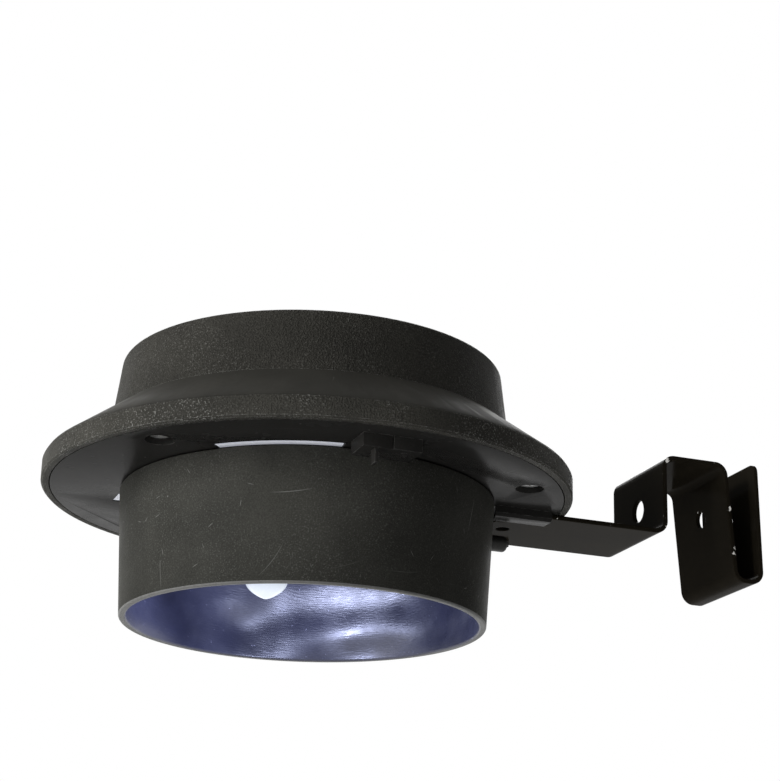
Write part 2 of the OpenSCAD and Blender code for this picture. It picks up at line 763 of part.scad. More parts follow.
// Round bend of the strip's side view at a corner between two directions
module strip_bend(corner, u, v) {
    turn = acos(u * v);
    side = sign(u.x * v.y - u.y * v.x);
    reach = bend_r * tan(turn / 2);
    middle = corner - reach * u + side * bend_r * [-u.y, u.x];
    from = corner - reach * u - middle;
    to = corner + reach * v - middle;
    intersection() {
        translate(middle) difference() { circle(bend_r + strip_t / 2); circle(bend_r - strip_t / 2); }
        polygon([middle, middle + 3 * from, middle + 3 * (from + to), middle + 3 * to]);
    }
}

// Length of straight strip that a bend takes up on each side of its corner
function bend_take(p, i) = (i == 0 || i == len(p) - 1) ? 0
    : bend_r * tan(acos(aim(p[i - 1], p[i]) * aim(p[i], p[i + 1])) / 2);

// Side view of the whole strip
module strip_side(p) {
    last = len(p) - 1;
    for (i = [0:last - 1]) let (u = aim(p[i], p[i + 1]))
        strip_run(p[i] + (bend_take(p, i) - seam) * u, p[i + 1] - (bend_take(p, i + 1) - seam) * u);
    for (i = [1:last - 1]) strip_bend(p[i], aim(p[i - 1], p[i]), aim(p[i], p[i + 1]));
}

// Waste outside a rounded corner, cut through along +X
module corner_cut(r) {
    difference() {
        translate([-corner_run, 0, 0]) cube([2 * corner_run, r + past, r + past]);
        rotate([0, 90, 0]) cylinder(r = r, h = 2 * (corner_run + past), center = true);
    }
}

// Bent steel strip that hooks over the gutter's edge
module bracket() {
    color("#1b1b1b") in_place() difference() {
        translate([0, strip_w / 2, 0]) rotate([90, 0, 0])
            linear_extrude(height = strip_w) strip_side(strip_line);
        translate([first_x, 0, hole_z]) rotate([0, 90, 0])
            cylinder(d = first_hole_d, h = hole_cut, center = true);
        translate([middle_x + 1, 0, hole_z]) rotate([0, 90, 0])
            cylinder(d = middle_hole_d, h = hole_cut, center = true);
        translate([outer_top_x + strip_t / 2, 0, hole_z]) rotate([0, 90, 0])
            cylinder(d = outer_hole_d, h = hole_cut, center = true);
        translate([tongue_hole_x, 0, arm_z])
            cylinder(d = tongue_hole_d, h = 2 * past + strip_t, center = true);
        for (side = [-1, 1]) scale([1, side, 1])
            translate([outer_top_x, strip_w / 2 - end_round, outer_h - end_round]) corner_cut(end_round);
    }
}

top_housing();
panel_cover();
solar_cell();
panel_foam();
base_plate();
base_gasket();
base_screws();
shade();
led_holder();
led_lamp();
led_legs();
inner_carrier();
carrier_screws();
circuit_board();
board_screws();
driver_chip();
inductor();
charge_diode();
battery_tray();
battery();
positive_contact();
negative_contact();
switch_body();
switch_slider();
panel_lead_red();
panel_lead_black();
battery_lead_red();
battery_lead_black();
bracket();
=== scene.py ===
"""Looks of the solar gutter light: finishes, refined pieces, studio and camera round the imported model."""

import json
import logging
import math
from dataclasses import dataclass, field
from enum import Enum
from typing import Sequence

import bmesh
import bpy
from mathutils import Matrix, Vector
from mathutils.geometry import delaunay_2d_cdt

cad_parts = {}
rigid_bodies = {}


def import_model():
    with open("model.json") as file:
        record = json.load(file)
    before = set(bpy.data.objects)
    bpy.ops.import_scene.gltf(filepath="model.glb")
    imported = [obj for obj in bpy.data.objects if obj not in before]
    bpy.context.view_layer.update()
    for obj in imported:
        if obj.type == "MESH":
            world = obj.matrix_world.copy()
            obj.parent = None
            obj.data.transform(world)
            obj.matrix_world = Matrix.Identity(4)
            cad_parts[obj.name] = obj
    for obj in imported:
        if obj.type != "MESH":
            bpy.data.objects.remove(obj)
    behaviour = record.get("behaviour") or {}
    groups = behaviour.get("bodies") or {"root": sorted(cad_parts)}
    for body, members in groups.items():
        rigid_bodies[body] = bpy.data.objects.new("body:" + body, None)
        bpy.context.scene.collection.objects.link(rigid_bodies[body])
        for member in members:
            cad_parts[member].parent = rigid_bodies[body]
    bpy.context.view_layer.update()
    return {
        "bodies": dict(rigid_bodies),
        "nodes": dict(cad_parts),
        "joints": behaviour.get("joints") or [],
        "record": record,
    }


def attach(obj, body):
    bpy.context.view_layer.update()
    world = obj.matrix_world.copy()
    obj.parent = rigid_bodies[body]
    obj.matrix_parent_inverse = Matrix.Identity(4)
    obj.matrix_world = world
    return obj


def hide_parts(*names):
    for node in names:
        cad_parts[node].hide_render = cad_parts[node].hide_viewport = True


LOG = logging.getLogger("gutter_light")
MM = 0.001
# Seat on the gutter's edge, the part's origin: millimetres from the lamp's axis and the plate's underside.
SEAT = Vector((88.8, 0.0, 16.6))
WHITE = (1.0, 1.0, 1.0, 1.0)
MERGE_M = 2e-7
CAD_MERGE_M = 1e-6
SAME_MM = 1e-9
LATHE_MERGE_MM = 1e-3
SMOOTH_ANGLE = 32.0

Colour = tuple[float, float, float, float]
Point = tuple[float, float, float]
Pair = tuple[float, float]


class Body(str, Enum):
    """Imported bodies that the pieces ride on."""

    LAMP = "lamp"
    SHADE = "shade"
    BRACKET = "bracket"


def lamp_point(x: float, y: float, z: float) -> Vector:
    """Point of the part's frame, in metres, from millimetres along the arm, aside and above the plate."""
    return (Vector((x, y, z)) - SEAT) * MM


def lamp_height(z: float) -> float:
    """Height in the part's frame, in metres, of one above the base plate's underside, in millimetres."""
    return (z - SEAT.z) * MM


LAMP_PLACE = Matrix.Translation(lamp_point(0.0, 0.0, 0.0)) @ Matrix.Scale(MM, 4)
AT_AXIS = Matrix.Identity(4).freeze()


class Wiring:
    """Adds nodes to a tree and joins them up."""

    def __init__(self, tree: bpy.types.NodeTree) -> None:
        """Keeps the tree to wire."""
        self.tree = tree

    def feed(self, node: bpy.types.Node, key: str | int, value: object) -> None:
        """Gives a node's input a value or joins it to another node.

        Args:
            node: Node to feed.
            key: Name or place of its input.
            value: Plain value, output of a node, or node whose first output is meant.
        """
        socket = node.inputs[key]
        if isinstance(value, bpy.types.Node):
            value = value.outputs[0]
        if isinstance(value, bpy.types.NodeSocket):
            self.tree.links.new(value, socket)
        else:
            socket.default_value = value

    def add(self, kind: str, inputs: dict[str | int, object] | None = None,
            **settings: object) -> bpy.types.Node:
        """Adds one node.

        Args:
            kind: Type name of the node.
            inputs: What its inputs are fed, by their names or places.
            **settings: Properties of the node.

        Returns:
            The new node.
        """
        node = self.tree.nodes.new(kind)
        for name, value in settings.items():
            setattr(node, name, value)
        for key, value in (inputs or {}).items():
            self.feed(node, key, value)
        return node

    def maths(self, operation: str, *values: object) -> bpy.types.NodeSocket:
        """Output of a Math node with these values."""
        return self.add("ShaderNodeMath", dict(enumerate(values)), operation=operation).outputs[0]

    def plus(self, first: object, second: object) -> bpy.types.NodeSocket:
        """Sum of two values."""
        return self.maths("ADD", first, second)

    def minus(self, first: object, second: object) -> bpy.types.NodeSocket:
        """First value less the second."""
        return self.maths("SUBTRACT", first, second)

    def times(self, first: object, *others: object) -> object:
        """Product of values.

        Args:
            first: First value.
            *others: Values to multiply it by, in order.

        Returns:
            The product's output.
        """
        for value in others:
            first = self.maths("MULTIPLY", first, value)
        return first

    def most(self, first: object, *others: object) -> object:
        """Largest of values.

        Args:
            first: First value.
            *others: The other values.

        Returns:
            The output that holds the largest.
        """
        for value in others:
            first = self.maths("MAXIMUM", first, value)
        return first

    def ramp(self, source: object, low: float, high: float, start: float = 0.0,
             end: float = 1.0) -> bpy.types.NodeSocket:
        """Value that goes from start to end as the source goes from low to high, and is held there."""
        return self.add("ShaderNodeMapRange", {0: source, 1: low, 2: high, 3: start, 4: end}).outputs[0]

    def blend(self, factor: object, first: object, second: object) -> bpy.types.NodeSocket:
        """Mix of two colours, where the factor is the share of the second."""
        return self.add("ShaderNodeMix", {0: factor, 6: first, 7: second}, data_type="RGBA").outputs[2]

    def vector(self, x: object, y: object, z: object = 0.0) -> bpy.types.Node:
        """Vector of three numbers."""
        return self.add("ShaderNodeCombineXYZ", {0: x, 1: y, 2: z})

    def split(self, vector: object) -> list[bpy.types.NodeSocket]:
        """The three numbers of a vector."""
        return list(self.add("ShaderNodeSeparateXYZ", {0: vector}).outputs)

    def turned(self, vector: object, angle: object) -> bpy.types.Node:
        """Vector turned round the vertical axis."""
        values = {"Vector": vector, "Angle": angle}
        return self.add("ShaderNodeVectorRotate", values, rotation_type="Z_AXIS")


class GeometryRecipe:
    """A Geometry Nodes tree with named inputs, run once on a mesh and turned to plain faces."""

    def __init__(self, name: str) -> None:
        """Starts a tree with a geometry input and output.

        Args:
            name: Name of the tree.
        """
        self.tree = bpy.data.node_groups.new(name, "GeometryNodeTree")
        for way in ("INPUT", "OUTPUT"):
            self.tree.interface.new_socket("Geometry", in_out=way, socket_type="NodeSocketGeometry")
        self.wiring = Wiring(self.tree)
        self.start = self.tree.nodes.new("NodeGroupInput")
        self.finish = self.tree.nodes.new("NodeGroupOutput")
        self.keys: dict[str, str] = {}

    def size(self, name: str, kind: str = "NodeSocketFloat") -> bpy.types.NodeSocket:
        """Adds a named input.

        Args:
            name: Name that the input shows.
            kind: Type of the input's socket.

        Returns:
            The output of the group's input node for it.
        """
        item = self.tree.interface.new_socket(name, in_out="INPUT", socket_type=kind)
        self.keys[name] = item.identifier
        return self.start.outputs[name]

    def close(self, geometry: object) -> None:
        """Ends the tree: instances made real, then the material.

        Args:
            geometry: What the tree has made.
        """
        material = self.size("Material", "NodeSocketMaterial")
        real = self.wiring.add("GeometryNodeRealizeInstances", {0: geometry})
        dressed = self.wiring.add("GeometryNodeSetMaterial", {"Geometry": real, "Material": material})
        self.tree.links.new(dressed.outputs[0], self.finish.inputs[0])

    def run(self, seed: bpy.types.Mesh, name: str, values: dict[str, object]) -> bpy.types.Mesh:
        """Runs the tree.

        Args:
            seed: Mesh that goes in.
            name: Name of the mesh that comes out.
            values: Values of the named inputs.

        Returns:
            The resulting plain mesh, with the material in its first slot alone.
        """
        carrier = linked(bpy.data.objects.new(name + "_seed", seed))
        modifier = carrier.modifiers.new("recipe", "NODES")
        modifier.node_group = self.tree
        for key, value in values.items():
            modifier[self.keys[key]] = value
        mesh = baked(carrier, name)
        mesh.materials.clear()
        mesh.materials.append(values["Material"])
        for face in mesh.polygons:
            face.material_index = 0
        return mesh


def linked(obj: bpy.types.Object) -> bpy.types.Object:
    """The same object, linked into the scene."""
    bpy.context.scene.collection.objects.link(obj)
    return obj


def baked(obj: bpy.types.Object, name: str) -> bpy.types.Mesh:
    """Plain mesh of a working object with its modifiers applied. The object itself is removed.

    Args:
        obj: Object to evaluate.
        name: Name for the mesh.

    Returns:
        The new mesh.
    """
    bpy.context.view_layer.update()
    evaluated = obj.evaluated_get(bpy.context.evaluated_depsgraph_get())
    mesh = bpy.data.meshes.new_from_object(evaluated)
    mesh.name = name
    obj.modifiers.clear()
    bpy.data.objects.remove(obj)
    return mesh


def worked(work: bmesh.types.BMesh, name: str) -> bpy.types.Mesh:
    """New mesh from a working mesh, which is freed.

    Args:
        work: Working mesh.
        name: Name for the mesh.

    Returns:
        The new mesh.
    """
    mesh = bpy.data.meshes.new(name)
    work.to_mesh(mesh)
    work.free()
    return mesh


def smooth(mesh: bpy.types.Mesh, angle: float = SMOOTH_ANGLE) -> bpy.types.Mesh:
    """Merges doubles, turns faces outwards and shades smooth up to an angle.

    Args:
        mesh: Mesh to finish.
        angle: Widest edge angle, in degrees, that still looks smooth.

    Returns:
        The same mesh.
    """
    work = bmesh.new()
    work.from_mesh(mesh)
    bmesh.ops.remove_doubles(work, verts=work.verts, dist=MERGE_M)
    bmesh.ops.recalc_face_normals(work, faces=work.faces)
    for face in work.faces:
        face.smooth = True
    limit = math.radians(angle)
    for edge in work.edges:
        edge.smooth = len(edge.link_faces) == 2 and edge.calc_face_angle(0.0) < limit
    work.to_mesh(mesh)
    work.free()
    return mesh


def place_piece(mesh: bpy.types.Mesh, name: str, body: Body,
                replaced: Sequence[str] = ()) -> bpy.types.Object:
    """Makes a finished piece and ties it to its body.

    Args:
        mesh: Mesh with its place in it.
        name: Name of the piece.
        body: Body that it rides on.
        replaced: CAD nodes that it stands for.

    Returns:
        The new object.
    """
    obj = linked(bpy.data.objects.new(name, mesh))
    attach(obj, body.value)
    if replaced:
        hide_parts(*replaced)
    LOG.info("%s: %d faces on %s", name, len(mesh.polygons), body.value)
    return obj


def arc(centre: Pair, radius: float, start: float, end: float, steps: int = 8) -> list[Pair]:
    """Evenly spaced points of an arc from one angle to another, in degrees, ends included."""
    angles = [math.radians(start + (end - start) * i / steps) for i in range(steps + 1)]
    return [(centre[0] + radius * math.cos(a), centre[1] + radius * math.sin(a)) for a in angles]


def between(first: Pair, last: Pair, steps: int) -> list[Pair]:
    """Evenly spaced points of a straight line, without its last one."""
    return [tuple(a + (b - a) * i / steps for a, b in zip(first, last)) for i in range(steps)]


class Lathe(GeometryRecipe):
    """Turns a profile, given as radius and height, round the vertical axis."""

    def __init__(self) -> None:
        """Builds the tree."""
        super().__init__("turned_piece")
        wiring = self.wiring
        count = self.size("Profile Points", "NodeSocketInt")
        segments = self.size("Segments", "NodeSocketInt")
        columns = wiring.plus(segments, 1.0)
        grid = wiring.add("GeometryNodeMeshGrid", {"Vertices X": columns, "Vertices Y": count})
        index = wiring.add("GeometryNodeInputIndex").outputs[0]
        row = wiring.maths("MODULO", index, count)
        column = wiring.maths("FLOOR", wiring.maths("DIVIDE", wiring.plus(index, 0.5), count))
        angle = wiring.times(wiring.maths("DIVIDE", column, segments), 2 * math.pi)
        place = wiring.add("GeometryNodeInputPosition").outputs[0]
        sources = {"Geometry": self.start.outputs[0], "Value": place, "Index": row}
        sample = wiring.add("GeometryNodeSampleIndex", sources, data_type="FLOAT_VECTOR", domain="POINT")
        place = wiring.turned(sample, angle)
        moved = wiring.add("GeometryNodeSetPosition", {"Geometry": grid, "Position": place})
        values = {"Geometry": moved, "Distance": LATHE_MERGE_MM}
        self.close(wiring.add("GeometryNodeMergeByDistance", values))

    def turn(self, profile: Sequence[Pair], name: str, material: bpy.types.Material,
             segments: int = 192) -> bpy.types.Mesh:
        """Turns one profile.

        Args:
            profile: Radius and height of each point, in millimetres.
            name: Name of the mesh.
            material: Finish of the piece.
            segments: Number of steps round the axis.

        Returns:
            The turned mesh, in millimetres round the origin.
        """
        seed = bpy.data.meshes.new(name + "_profile")
        seed.from_pydata([(r, 0.0, z) for r, z in profile], [(i, i + 1) for i in range(len(profile) - 1)], [])
        values = {"Profile Points": len(profile), "Segments": segments, "Material": material}
        return self.run(seed, name, values)


@dataclass(frozen=True)
class Relief:
    """Sizes of a noisy relief: its density, depth, strength, stretch, octaves and shift."""

    per_mm: float
    depth_mm: float
    strength: float
    stretch: Point = (1.0, 1.0, 1.0)
    detail: float = 2.0
    shift_mm: float = 0.0


@dataclass(frozen=True)
class Patches:
    """Soft-edged patches of noise: its density, its octaves, and the values between which they fade in."""

    per_mm: float
    detail: float = 3.0
    band: Pair = (0.3, 0.7)


@dataclass(frozen=True)
class Stroke:
    """Sizes of one kind of scratch, which lies in a share of the surface's cells.

    The core and the rim are shares of the width where a stroke starts to fade and ends. The full part
    is the share of its half length that doesn't fade.
    """

    cell_mm: float
    share: float
    half_mm: float
    width_mm: float
    core: float = 0.2
    rim: float = 0.7
    full: float = 0.3
    bow: float = 60.0


class Surface(Wiring):
    """Wiring of a new material, with its shader and the patterns that finishes share."""

    def __init__(self, name: str) -> None:
        """Starts a material with a plain shader.

        Args:
            name: Name of the material.
        """
        self.material = bpy.data.materials.new(name)
        self.material.use_nodes = True
        super().__init__(self.material.node_tree)
        self.shader = self.tree.nodes["Principled BSDF"]

    def put(self, values: dict[str, object]) -> None:
        """Feeds the shader's inputs, by their names."""
        for name, value in values.items():
            self.feed(self.shader, name, value)

    def place(self) -> bpy.types.NodeSocket:
        """Place on the object."""
        return self.add("ShaderNodeTexCoord").outputs["Object"]

    def wear(self) -> bpy.types.NodeSocket:
        """How worn the surface is at its edges, from the piece's own attribute; the housing's finish also
        paints an edge highlight on the same share.
        """
        return self.add("ShaderNodeAttribute", attribute_name="wear").outputs["Fac"]

    def noise(self, per_mm: float, detail: float, stretch: Point = (1.0, 1.0, 1.0),
              shift_mm: float = 0.0) -> bpy.types.NodeSocket:
        """Noise on object coordinates.

        Args:
            per_mm: Noise cells for each millimetre.
            detail: Octaves of finer noise.
            stretch: Stretch along each axis.
            shift_mm: Shift of the pattern, in millimetres.

        Returns:
            The noise's value.
        """
        place = {"Vector": self.place(), "Scale": stretch, "Location": (shift_mm * MM,) * 3}
        mapped = self.add("ShaderNodeMapping", place)
        values = {"Vector": mapped, "Scale": per_mm / MM, "Detail": detail}
        return self.add("ShaderNodeTexNoise", values).outputs[0]

    def patches(self, kind: Patches) -> bpy.types.NodeSocket:
        """How much of a patch lies at the place, from 0 to 1."""
        return self.ramp(self.noise(kind.per_mm, kind.detail), *kind.band)

    def heights(self, relief: Relief) -> bpy.types.NodeSocket:
        """Heights of a relief, from 0 to 1."""
        return self.noise(relief.per_mm, relief.detail, relief.stretch, relief.shift_mm)

    def bump(self, height: object, depth_mm: float, strength: float) -> bpy.types.Node:
        """Bump of this height, for the shader's normal."""
        values = {"Height": height, "Strength": strength, "Distance": depth_mm * MM}
        return self.add("ShaderNodeBump", values)

    def embossed(self, relief: Relief) -> bpy.types.Node:
        """Bump of a noisy relief, for the shader's normal."""
        return self.bump(self.heights(relief), relief.depth_mm, relief.strength)

    def cells(self, place: object, per_mm: float, **settings: object) -> tuple[bpy.types.Node, list]:
        """Node of random cells over a surface, and three numbers by chance for each cell."""
        cells = self.add("ShaderNodeTexVoronoi", {"Vector": place, "Scale": per_mm / MM}, **settings)
        return cells, list(self.add("ShaderNodeSeparateColor", {0: cells.outputs["Color"]}).outputs)


@dataclass(frozen=True)
class Finish:
    """What every finish has: its name, colour and gloss."""

    name: str
    colour: Colour
    roughness: float = 0.5
    specular: float = 0.3

    def build(self) -> bpy.types.Material:
        """Makes the material.

        Returns:
            The new material with its nodes wired.
        """
        surface = Surface(self.name)
        surface.material.diffuse_color = self.colour
        surface.put({"Specular IOR Level": self.specular})
        self.wire(surface)
        return surface.material

    def wire(self, surface: Surface) -> None:
        """Wires the finish into the surface's shader."""
        raise NotImplementedError

    def gloss(self, surface: Surface, driver: object, less: float, more: float) -> bpy.types.NodeSocket:
        """Roughness from less to more than the finish's own, as the driver goes from 0 to 1."""
        return surface.ramp(driver, 0.0, 1.0, self.roughness - less, self.roughness + more)


@dataclass(frozen=True)
class MouldedPlastic(Finish):
    """Moulded plastic with cloudy colour, eroded grain, dust specks, scratches and pale edges that are partly
    wear and partly a painted highlight. Below a smooth zone it can be painted paler as painted light, and it
    can give off a painted glow.
    """

    cloud: Colour = (0.06, 0.06, 0.055, 1.0)
    worn: Colour = (0.20, 0.20, 0.19, 1.0)
    # Colour of the pale edges: wear, and on the housing also a painted edge highlight.
    edge: Colour = (0.20, 0.20, 0.19, 1.0)
    clouds: Patches = Patches(0.05, 4.0)
    mottle: float = 0.5
    grain: Relief = Relief(2.2, 0.03, 0.4)
    smooth_zone: Pair | None = None
    zone_edge_mm: float = 0.1
    # Share by which the colour below the smooth zone is painted paler: painted light.
    low_pale: float = 0.0
    low_fleck: float = 1.0
    fleck: float = 0.0
    fleck_patches: Patches = Patches(0.08, 3.0, (0.38, 0.62))
    peak_band: Pair = (0.58, 0.74)
    specks: float = 0.3
    speck_per_mm: float = 0.45
    speck_share: Pair = (0.975, 0.98)
    speck_reach: Pair = (0.05, 0.11)
    scratches: float = 0.3
    strokes: tuple[Stroke, ...] = (Stroke(12.0, 0.3, 4.5, 0.13), Stroke(3.7, 0.10, 0.8, 0.11))
    unroll_r: float = 40.0
    edge_wear: float = 0.8
    edge_patches: Patches = Patches(1.1, 4.0, (0.38, 0.60))
    sheen: Patches = Patches(0.12)
    sheen_range: Pair = (0.06, 0.06)
    # Strength and tint of a painted glow: light given off by a part that is no lamp.
    glow: float = 0.0
    painted_glow_tint: Colour = (0.86, 0.9, 1.0, 1.0)

    def wire(self, surface: Surface) -> None:
        """Wires clouds, grain, specks, scratches, pale edges that are partly wear and partly a painted
        highlight, the painted paler low zone and the painted glow.

        Args:
            surface: Surface to wire.
        """
        below, above = self.zone_shares(surface)
        zone = surface.plus(below, above)
        grain = surface.heights(self.grain)
        clouded = surface.blend(surface.patches(self.clouds), self.colour, self.cloud)
        lift = surface.times(surface.minus(grain, 0.5), zone, self.mottle)
        # Colour scale from the grain's mottle, and below the smooth zone a painted paler band that stands in
        # for light falling on it from below.
        pale = surface.plus(lift, surface.maths("MULTIPLY_ADD", below, self.low_pale, 1.0))
        mottled = surface.add("ShaderNodeVectorMath", {0: clouded, "Scale": pale}, operation="SCALE")
        flecks = self.flecks(surface, grain, below, above)
        marks = surface.most(self.dust(surface), self.hairlines(surface), flecks)
        # Pale edges in patches: wear, and where the edge colour is pale, as on the housing, a painted edge
        # highlight.
        rubbed_and_highlit = surface.times(surface.wear(), surface.patches(self.edge_patches), self.edge_wear)
        height = surface.times(grain, zone)
        surface.put({
            "Base Color": surface.blend(rubbed_and_highlit, surface.blend(marks, mottled, self.worn), self.edge),
            "Roughness": self.gloss(surface, surface.patches(self.sheen), *self.sheen_range),
            "Normal": surface.bump(height, self.grain.depth_mm, self.grain.strength)})
        # Painted glow: the piece gives off light of its own, standing in for light that falls on it.
        if self.glow > 0.0:
            surface.put({"Emission Color": self.painted_glow_tint, "Emission Strength": self.glow})

    def zone_shares(self, surface: Surface) -> tuple[object, object]:
        """Shares of the grain below and above the smooth zone.

        Args:
            surface: Surface to wire.

        Returns:
            The share below it and the share above it.
        """
        if self.smooth_zone is None:
            return 0.0, 1.0
        height = surface.split(surface.place())[2]
        low, high = (lamp_height(z) for z in self.smooth_zone)
        soft = self.zone_edge_mm * MM
        return surface.ramp(height, low - soft, low, 1.0, 0.0), surface.ramp(height, high, high + soft)

    def flecks(self, surface: Surface, grain: object, below: object, above: object) -> object:
        """Pale flecks on the grain's peaks, in patches.

        Args:
            surface: Surface to wire.
            grain: Height of the grain.
            below: Share of the grain below the smooth zone.
            above: Share of the grain above it.

        Returns:
            How much of a fleck lies at the place.
        """
        peaks = surface.ramp(grain, *self.peak_band)
        lively = surface.plus(surface.times(below, self.low_fleck), above)
        return surface.times(peaks, surface.patches(self.fleck_patches), lively, self.fleck)

    def dust(self, surface: Surface) -> object:
        """Few small light specks.

        Args:
            surface: Surface to wire.

        Returns:
            How much of a speck lies at the place.
        """
        cells, chances = surface.cells(surface.place(), self.speck_per_mm)
        chosen = surface.ramp(chances[0], *self.speck_share)
        near = surface.ramp(cells.outputs["Distance"], *self.speck_reach, 1.0, 0.0)
        return surface.times(chosen, near, self.specks)

    def hairlines(self, surface: Surface) -> object:
        """Scratches on the surface as it is unrolled from round the lamp's axis.

        Args:
            surface: Surface to wire.

        Returns:
            How much of a scratch lies at the place.
        """
        shift = {0: surface.place(), 1: (SEAT.x * MM, 0.0, SEAT.z * MM)}
        x, y, z = surface.split(surface.add("ShaderNodeVectorMath", shift, operation="ADD"))
        turn = surface.times(surface.maths("ARCTAN2", y, x), self.unroll_r * MM)
        squares = surface.plus(surface.maths("POWER", x, 2.0), surface.maths("POWER", y, 2.0))
        spread = surface.vector(turn, surface.minus(z, surface.maths("SQRT", squares)))
        found = (self.scratch(surface, spread, stroke) for stroke in self.strokes)
        return surface.times(surface.most(0.0, *found), self.scratches)

    def scratch(self, surface: Surface, spread: object, stroke: Stroke) -> object:
        """One thin bowed stroke in some of the cells of a surface, each turned its own way.

        Args:
            surface: Surface to wire.
            spread: Place on the unrolled surface.
            stroke: Sizes of the stroke.

        Returns:
            How much of a stroke lies at the place.
        """
        width, half = stroke.width_mm * MM, stroke.half_mm * MM
        cells, (way, chosen, curve) = surface.cells(spread, 1.0 / stroke.cell_mm, voronoi_dimensions="2D")
        apart = {0: spread, 1: cells.outputs["Position"]}
        offset = surface.add("ShaderNodeVectorMath", apart, operation="SUBTRACT")
        across, run, _ = surface.split(surface.turned(offset, surface.times(way, math.pi)))
        along = surface.maths("ABSOLUTE", run)
        bow = surface.times(surface.minus(curve, 0.5), stroke.bow)
        sag = surface.times(surface.maths("POWER", along, 2.0), bow)
        aside = surface.maths("ABSOLUTE", surface.minus(across, sag))
        line = surface.times(surface.ramp(aside, stroke.core * width, stroke.rim * width, 1.0, 0.0),
                             surface.ramp(along, stroke.full * half, half, 1.0, 0.0))
        return surface.times(line, surface.ramp(chosen, 1.0 - stroke.share, 1.0 - 0.5 * stroke.share))


@dataclass(frozen=True)
class RippledGloss(Finish):
    """Glossy moulded inner wall with fine level ripples and broad shallow waves. Its colours are painted
    shade, darker than the shade's outside, with a painted blue tint of the LED's light.
    """

    # Painted shade and painted light: darker, blue-tinted colours of the same plastic as the shade's outside.
    cloud: Colour = (0.018, 0.019, 0.032, 1.0)
    clouds: Patches = Patches(0.06, 4.0)
    speck: Colour = (0.2, 0.2, 0.25, 1.0)
    specks: Patches = Patches(1.5, 5.0, (0.70, 0.78))
    sheen: Patches = Patches(0.2)
    sheen_range: Pair = (0.05, 0.07)
    ripple: Relief = Relief(3.4, 0.035, 1.0, (0.18, 0.18, 1.0), 1.0)
    wave: Relief = Relief(0.028, 14.0, 1.0, (1.0, 1.0, 1.6), 1.0, -310.0)

    def wire(self, surface: Surface) -> None:
        """Wires the cloudy colour, the gloss, the ripples and the waves.

        Args:
            surface: Surface to wire.
        """
        clouded = surface.blend(surface.patches(self.clouds), self.colour, self.cloud)
        ripples = surface.times(surface.heights(self.ripple), self.ripple.depth_mm / self.wave.depth_mm)
        height = surface.plus(ripples, surface.heights(self.wave))
        surface.put({
            "Base Color": surface.blend(surface.patches(self.specks), clouded, self.speck),
            "Roughness": self.gloss(surface, surface.patches(self.sheen), *self.sheen_range),
            "Normal": surface.bump(height, self.wave.depth_mm, self.wave.strength)})


@dataclass(frozen=True)
class GlossPaint(Finish):
    """Gloss paint on steel with a slight orange peel, and steel that shows at worn edges."""

    steel: Colour = (0.42, 0.41, 0.39, 1.0)
    chips: Patches = Patches(0.45, 4.0, (0.66, 0.69))
    faded: Patches = Patches(0.06)
    fade_gain: float = 1.35
    sheen: Patches = Patches(0.1, 4.0)
    sheen_range: Pair = (0.05, 0.07)
    peel: Relief = Relief(0.5, 0.02, 0.25)

    def wire(self, surface: Surface) -> None:
        """Wires dull patches, chips along the edges and the peel.

        Args:
            surface: Surface to wire.
        """
        pale = tuple(self.fade_gain * c for c in self.colour[:3]) + (1.0,)
        base = surface.blend(surface.patches(self.faded), self.colour, pale)
        chips = surface.times(surface.wear(), surface.patches(self.chips))
        surface.put({
            "Base Color": surface.blend(chips, base, self.steel),
            "Metallic": chips,
            "Roughness": self.gloss(surface, surface.patches(self.sheen), *self.sheen_range),
            "Normal": surface.embossed(self.peel)})


@dataclass(frozen=True)
class PlatedMetal(Finish):
    """Plated or tinned metal with fine drawing lines and patches of another tone."""

    stain: Colour = (0.5, 0.49, 0.46, 1.0)
    stains: Patches = Patches(0.6, 4.0, (0.45, 0.55))
    dulled: float = 0.15
    lines: Relief = Relief(4.0, 0.004, 0.3, (1.0, 1.0, 0.1))

    def wire(self, surface: Surface) -> None:
        """Wires the patches, the drawing lines and the gloss.

        Args:
            surface: Surface to wire.
        """
        stains = surface.patches(self.stains)
        surface.put({
            "Base Color": surface.blend(stains, self.colour, self.stain),
            "Metallic": 1.0,
            "Roughness": self.gloss(surface, stains, 0.0, self.dulled),
            "Normal": surface.embossed(self.lines)})


@dataclass(frozen=True)
class LitEpoxy(Finish):
    """Milky epoxy of the LED, whose glow weakens a little with height."""

    milk: Colour = (0.2, 0.22, 0.26, 1.0)
    clouds: Patches = Patches(0.8, 2.0)
    glow: Colour = (0.80, 0.87, 0.98, 1.0)
    strength: float = 0.93
    fade_height: Pair = (-22.0, -18.8)
    faded: float = 0.6
    dulled: float = 0.08
    skin: Relief = Relief(1.5, 0.01, 0.1)

    def wire(self, surface: Surface) -> None:
        """Wires the milky colour and a glow that is strongest at the tip.

        Args:
            surface: Surface to wire.
        """
        milk = surface.patches(self.clouds)
        height = surface.split(surface.place())[2]
        low, high = (lamp_height(z) for z in self.fade_height)
        surface.put({
            "Base Color": surface.blend(milk, self.colour, self.milk),
            "Emission Color": self.glow,
            "Emission Strength": surface.ramp(height, low, high, self.strength, self.faded * self.strength),
            "Roughness": self.gloss(surface, milk, 0.0, self.dulled),
            "Normal": surface.embossed(self.skin)})


